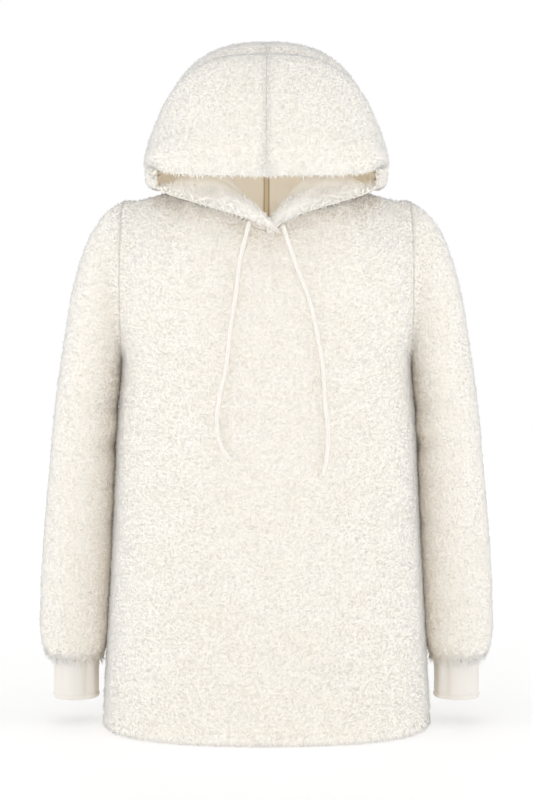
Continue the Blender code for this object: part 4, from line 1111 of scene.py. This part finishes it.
def hoodGrid(hem):
    # the surface in even steps with its folds pressed in, the direction out of it for the outer
    # skin, and a smoother one for the wall's inner side; hem is the channel's share of the run
    columns = evenSteps(hoodSurface, 0.0, 24.0, np.linspace(0.0, 0.9, 16), hoodSizes["columns"], False)
    runs = evenSteps(hoodSurface, 0.0, 1.0, np.linspace(0.0, 24.0, 15), hoodSizes["rows"], True)
    solid = hoodSurface(runs, columns)
    outward = gridNormals(solid, False)
    dome = (slice(40, 90), slice(0, 30))
    if np.mean(np.sum(outward[dome] * (solid[dome] - np.array([0.0, 0.0, 0.07])), axis=-1)) < 0:
        outward = -outward
    outward[:, [0, -1], 0] = 0.0
    dips = np.zeros(solid.shape[:2])
    for row in rowsOf(hoodCreases):
        dips += crease(runs[:, None] * hoodSizes["seamLength"] - row["fromEdge"], solid[..., 0] - row["x"],
                       row["halfWidth"], row["halfLength"], row["depth"])
    solid = pressIn(solid, outward, dips * (columns < 12.0))
    smooth = evenOut(outward, columns, hoodSizes["evenOut"])
    first = int(np.searchsorted(runs, 0.5 * hem))
    smooth[:first] = smooth[first]
    seamOut = -neckInward(solid[-1])
    smooth = unit(smooth * (1.0 - ontoSeam(runs)) + seamOut * ontoSeam(runs))
    near = ease(1.0 - (1.0 - runs) / hoodSizes["seamTurn"])[:, None, None]
    outward = unit(evenOut(outward, columns, hoodSizes["ownEven"]) * (1.0 - near) + seamOut * near)
    return columns, runs, solid, outward, smooth


def crossOver(grid, columns, runs):
    # at the throat the edge passes over the other half's: x moves by reach, y by lift and z by
    # 4 lift (1 - lift), each fading with the distance from throat and edge
    crossing = hoodSizes["crossTurn"] / 90.0 * 12.0
    nearThroat = ease((columns - (24.0 - crossing)) / crossing)
    nearEdge = ease(1.0 - runs / hoodSizes["crossRun"])[:, None]
    lift = 1.0 - (1.0 - nearEdge)**2
    reach = np.clip((nearEdge - hoodSizes["crossDelay"]) / (1.0 - hoodSizes["crossDelay"]), 0.0, 1.0)**1.5
    grid[..., 0] -= nearThroat**2 * reach * hoodSizes["crossReach"]
    grid[..., 1] -= nearThroat * lift * hoodSizes["crossLift"]
    grid[..., 2] += nearThroat * 4.0 * lift * (1.0 - lift) * hoodSizes["crossRise"]


def hoodHalf(label, side, seed):
    # the wall is a fleece's thickness, more at the turned edge and less at corner and throat; the
    # outer skin dips at stitches and seams, and the turned edge rolls over its own end inside
    sizes, comb = hoodSizes, hoodPile
    hem = sizes["channel"] / sizes["seamLength"]
    columns, runs, solid, outward, smooth = hoodGrid(hem)
    overCrown = columns < 12.0
    throat = ease((columns - 12.0) / 12.0)
    corner = bell((columns - 12.0 - sizes["cornerAt"]) / sizes["cornerSpread"])
    press = 1.0 - sizes["thinThroat"] * throat - sizes["thinCorner"] * corner
    turned = ease((1.25 * hem - runs) / (0.3 * hem))[:, None]
    thick = (cloth["fleece"] + (cloth["turnedFleece"] - cloth["fleece"]) * turned) * press
    fromEdge, fromNeck = runs[:, None] * sizes["seamLength"], (1.0 - runs)[:, None] * sizes["seamLength"]
    fromCentre = np.abs(solid[..., 0])
    stitch = bell((fromEdge - sizes["stitchAt"] * sizes["channel"]) / cloth["stitchWidth"]) * (1.0 - throat)
    centre = bell(fromCentre / sizes["centreWidth"]) * overCrown
    lumps = cloth["lumps"] * softWaves(solid, cloth["lumpSize"], 6)
    depth = ((sizes["pileShare"] * cloth["pileDepth"] + lumps) * press
             + sizes["stitchShare"] * cloth["stitchDip"] * stitch + sizes["centreDip"] * centre
             + cloth["seamDip"] * bell(fromNeck / cloth["seamWidth"])
             + 0.5 * cloth["edgeRound"] * np.clip(1.0 - fromEdge / 0.004, 0.0, 1.0)**2)
    outer = pressIn(solid, outward, depth)
    inner = pressIn(solid, smooth, thick)
    turnedIn = np.cumsum(np.linalg.norm(np.diff(inner, axis=0, prepend=inner[:1]), axis=-1), axis=0)
    brim, atCorner, middle = sizes["turnedIn"]
    atThroat = ease((columns - sizes["turnedFrom"]) / (12.0 - sizes["turnedFrom"]))
    band = brim * (1.0 - atThroat) + (atCorner + middle * throat) * atThroat
    roll = ease((band - turnedIn) / sizes["rollWidth"]) * ease(turnedIn / sizes["rollWidth"]) * atThroat
    inner = pressIn(inner, smooth, sizes["roll"] * roll)
    for grid in (outer, inner):
        grid[:, [0, -1], 0] = 0.5 * cloth["seamGap"]
        if side < 0:
            crossOver(grid, columns, runs)
    ratio = cloth["ratio"]
    mirror = np.array([side, 1.0, 1.0])
    shell = shellPiece("hood" + label, outer * mirror, (inner * mirror)[::ratio, ::ratio], False,
                       outward * mirror, [ground, knits["wrongSide"]])

    # the pile is combed over the free edge
    towardsEdge = unit(-np.gradient(outer, axis=0)) * mirror
    overBrim = ease(1.0 - fromEdge / comb["brimWidth"]) * (1.0 - comb["throatCalm"] * throat)
    lean = towardsEdge * (comb["comb"] + comb["brimComb"] * overBrim)[..., None]
    stretch = ((comb["length"] + comb["brimLonger"] * overBrim**2) * (0.6 + 0.4 * press)
               * (1.0 - comb["stitchShorter"] * stitch) * (1.0 - comb["centreShorter"] * centre))
    shade = (comb["shade"] * bell((fromEdge - comb["shadeAt"]) / comb["shadeWidth"])
             * bell(solid[..., 0] / comb["shadeReach"]) * overCrown)
    crowd = comb["crowd"] * bell(fromCentre / comb["crowdWidth"]) * overCrown
    found = scatter(outer * mirror, [outward * mirror, lean, stretch, shade], False,
                    pileSizes["perSquareMetre"], seed, crowd)
    # the channel is the same cloth turned in, so its inside has pile too, as far as the turned edge
    low = slice(0, int(np.searchsorted(runs, comb["insideTo"] * hem)) + 1)
    across = np.minimum(turnedIn / band, 1.0)
    inStretch = comb["inside"] + comb["insideLonger"] * np.abs(1.0 - 2.0 * across) * atThroat
    combed = towardsEdge * (atThroat * (comb["insideComb"] - comb["insideTurn"] * across))[..., None]
    inFields = (-smooth * mirror, combed, inStretch, np.zeros(turnedIn.shape), band - turnedIn)
    inPlaces, inFields = scatter((inner * mirror)[low], [field[low] for field in inFields], False,
                                 pileSizes["perSquareMetre"], seed + 2)
    under = inFields[4] > 0.0
    places, fields = joinPlaces(found, (inPlaces[under], [field[under] for field in inFields[:4]]))
    fur = growCurls("hood" + label + "Pile", places, unit(fields[0]), *fields[1:], pileSizes, seed + 1)
    for piece in (shell, fur):
        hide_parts("hood_" + label.lower())
    reportSheet("hood" + label, 0.5 * (outer + inner))
    return shell, fur, inner, runs


# width and length of one half's cut, and its area
hoodShells = [hoodHalf("Left", -1, 51), hoodHalf("Right", 1, 61)]
print("hood made")

tapeSizes = {"width": 0.008, "thick": 0.0009, "lift": 0.0004, "firstRun": 0.105, "endRun": 0.99, "columns": 12,
             "edge": 0.0016, "round": 0.003, "sink": 0.4, "sinkAt": 0.0014, "sinkWidth": 0.0005}


def tapePiece(inner, runs):
    # a strip along the hood's centre line inside, with a raised middle and two sunk stitched edges
    sizes = tapeSizes
    keep = (runs > sizes["firstRun"]) & (runs < sizes["endRun"])
    line = inner[keep, 0] * np.array([0.0, 1.0, 1.0])
    along = unit(np.gradient(line, axis=0))
    inward = unit(np.cross((1.0, 0.0, 0.0), along))
    if np.mean(np.sum(inward * (np.array([0.0, 0.0, 0.07]) - line), axis=-1)) < 0:
        inward = -inward
    offsets = np.linspace(-0.5, 0.5, sizes["columns"] + 1) * sizes["width"]
    fromEdge = 0.5 * sizes["width"] - np.abs(offsets)
    sunk = sizes["sink"] * bell((fromEdge - sizes["sinkAt"]) / sizes["sinkWidth"])
    height = sizes["lift"] + sizes["thick"] * (0.55 + 0.45 * ease(fromEdge / sizes["round"]) - sunk)
    across = offsets[:, None] * np.array([1.0, 0.0, 0.0])
    far = line[:, None] + inward[:, None] * height[:, None] + across
    near = line[:, None] + inward[:, None] * sizes["lift"] * np.ones((len(offsets), 1)) + across
    tape = shellPiece("hoodTape", far, near, False, np.broadcast_to(inward[:, None], far.shape),
                      [knits["tapeCloth"], knits["darkTapeEdge"]])
    # the two stitched edges take the darker colour
    middle = np.zeros(len(tape.data.polygons) * 3)
    tape.data.polygons.foreach_get("center", middle)
    edges = 0.5 * sizes["width"] - np.abs(middle.reshape(-1, 3)[:, 0]) < sizes["edge"]
    tape.data.polygons.foreach_set("material_index", edges.astype(np.int32))
    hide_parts("hood_seam_tape")
    reportSheet("hoodTape", far)
    return tape


tape = tapePiece(*hoodShells[1][2:])
print("tape made")


# ---- floor and light

# suns: name, strength, angle across, tilt; lamps: name, watts, size, place, tilt, colour
studio = {"floorZ": -0.7265, "floorSize": 30.0, "floorTone": 0.70, "floorGlow": (0.36, 0.50),
          "glowFrom": (0.9, 2.5), "world": 0.46, "seen": 1.0,
          "suns": (("topLamp", 0.75, 75.0, (26.0, 0.0, -8.0)), ("backLamp", 1.10, 60.0, (-78.0, 0.0, 0.0)),
                   ("leftLamp", 1.30, 60.0, (85.0, 0.0, -83.0)), ("rightLamp", 1.30, 60.0, (85.0, 0.0, 83.0))),
          "lamps": (("frontLamp", 12.5, 1.0, (0.0, -2.55, -0.36), (96.0, 0.0, 0.0), (1.0, 1.0, 1.0)),
                    ("hoodLamp", 0.10, 0.06, (0.0, 0.0, 0.065), (60.0, 0.0, 0.0), (1.0, 0.98, 0.95))),
          "bounces": 10}


def floorMaterial(look):
    # matt, with a glow of its own that rises with the distance from the middle
    material = bpy.data.materials.new("paperFloor")
    material.use_nodes = True
    tree = material.node_tree
    shader = tree.nodes["Principled BSDF"]
    shader.inputs["Base Color"].default_value = (*[look["floorTone"]] * 3, 1)
    shader.inputs["Roughness"].default_value = 1.0
    shader.inputs["Specular IOR Level"].default_value = 0.0
    shader.inputs["Emission Color"].default_value = (1.0, 1.0, 1.0, 1)
    far = addNode(tree, "ShaderNodeVectorMath", {0: addNode(tree, "ShaderNodeTexCoord").outputs["Object"]},
                  operation="LENGTH")
    (near, wide), (low, high) = look["glowFrom"], look["floorGlow"]
    glow = addNode(tree, "ShaderNodeMapRange", {0: far.outputs["Value"], 1: near, 2: wide, 3: low, 4: high},
                   interpolation_type="SMOOTHSTEP")
    tree.links.new(glow.outputs[0], shader.inputs["Emission Strength"])
    return material


def addLamp(name, data, tilt):
    # one lamp, turned by its tilt in degrees
    lamp = bpy.data.objects.new(name, data)
    lamp.rotation_euler = np.radians(tilt)
    bpy.context.scene.collection.objects.link(lamp)
    return lamp


def setStudio(look):
    # a wide floor, an even white surround that is brighter where it is seen, and the lamps
    half = 0.5 * look["floorSize"]
    mesh = bpy.data.meshes.new("floor")
    corners = ((-half, -half), (half, -half), (half, half), (-half, half))
    mesh.from_pydata([(x, y, look["floorZ"]) for x, y in corners], [], [(0, 1, 2, 3)])
    mesh.materials.append(floorMaterial(look))
    floor = bpy.data.objects.new("floor", mesh)
    bpy.context.scene.collection.objects.link(floor)
    world = bpy.data.worlds.new("studio")
    world.use_nodes = True
    tree = world.node_tree
    path = addNode(tree, "ShaderNodeLightPath")
    strength = addNode(tree, "ShaderNodeMix", {0: path.outputs["Is Camera Ray"], 2: look["world"],
                                               3: look["seen"]})
    background = tree.nodes["Background"]
    background.inputs["Color"].default_value = (1.0, 1.0, 1.0, 1)
    tree.links.new(strength.outputs[0], background.inputs["Strength"])
    bpy.context.scene.world = world
    for name, energy, angle, tilt in look["suns"]:
        sun = bpy.data.lights.new(name, "SUN")
        sun.energy, sun.angle = energy, np.radians(angle)
        addLamp(name, sun, tilt)
    for name, watts, size, place, tilt, colour in look["lamps"]:
        soft = bpy.data.lights.new(name, "AREA" if size > 0.5 else "POINT")
        soft.energy, soft.color = watts, colour
        if soft.type == "AREA":
            soft.size = size
        else:
            soft.shadow_soft_size = size
        lamp = addLamp(name, soft, tilt)
        lamp.location = place
        lamp.visible_camera = False
    bpy.context.scene.cycles.diffuse_bounces = look["bounces"]
    bpy.context.scene.view_settings.view_transform = "Standard"


setStudio(studio)
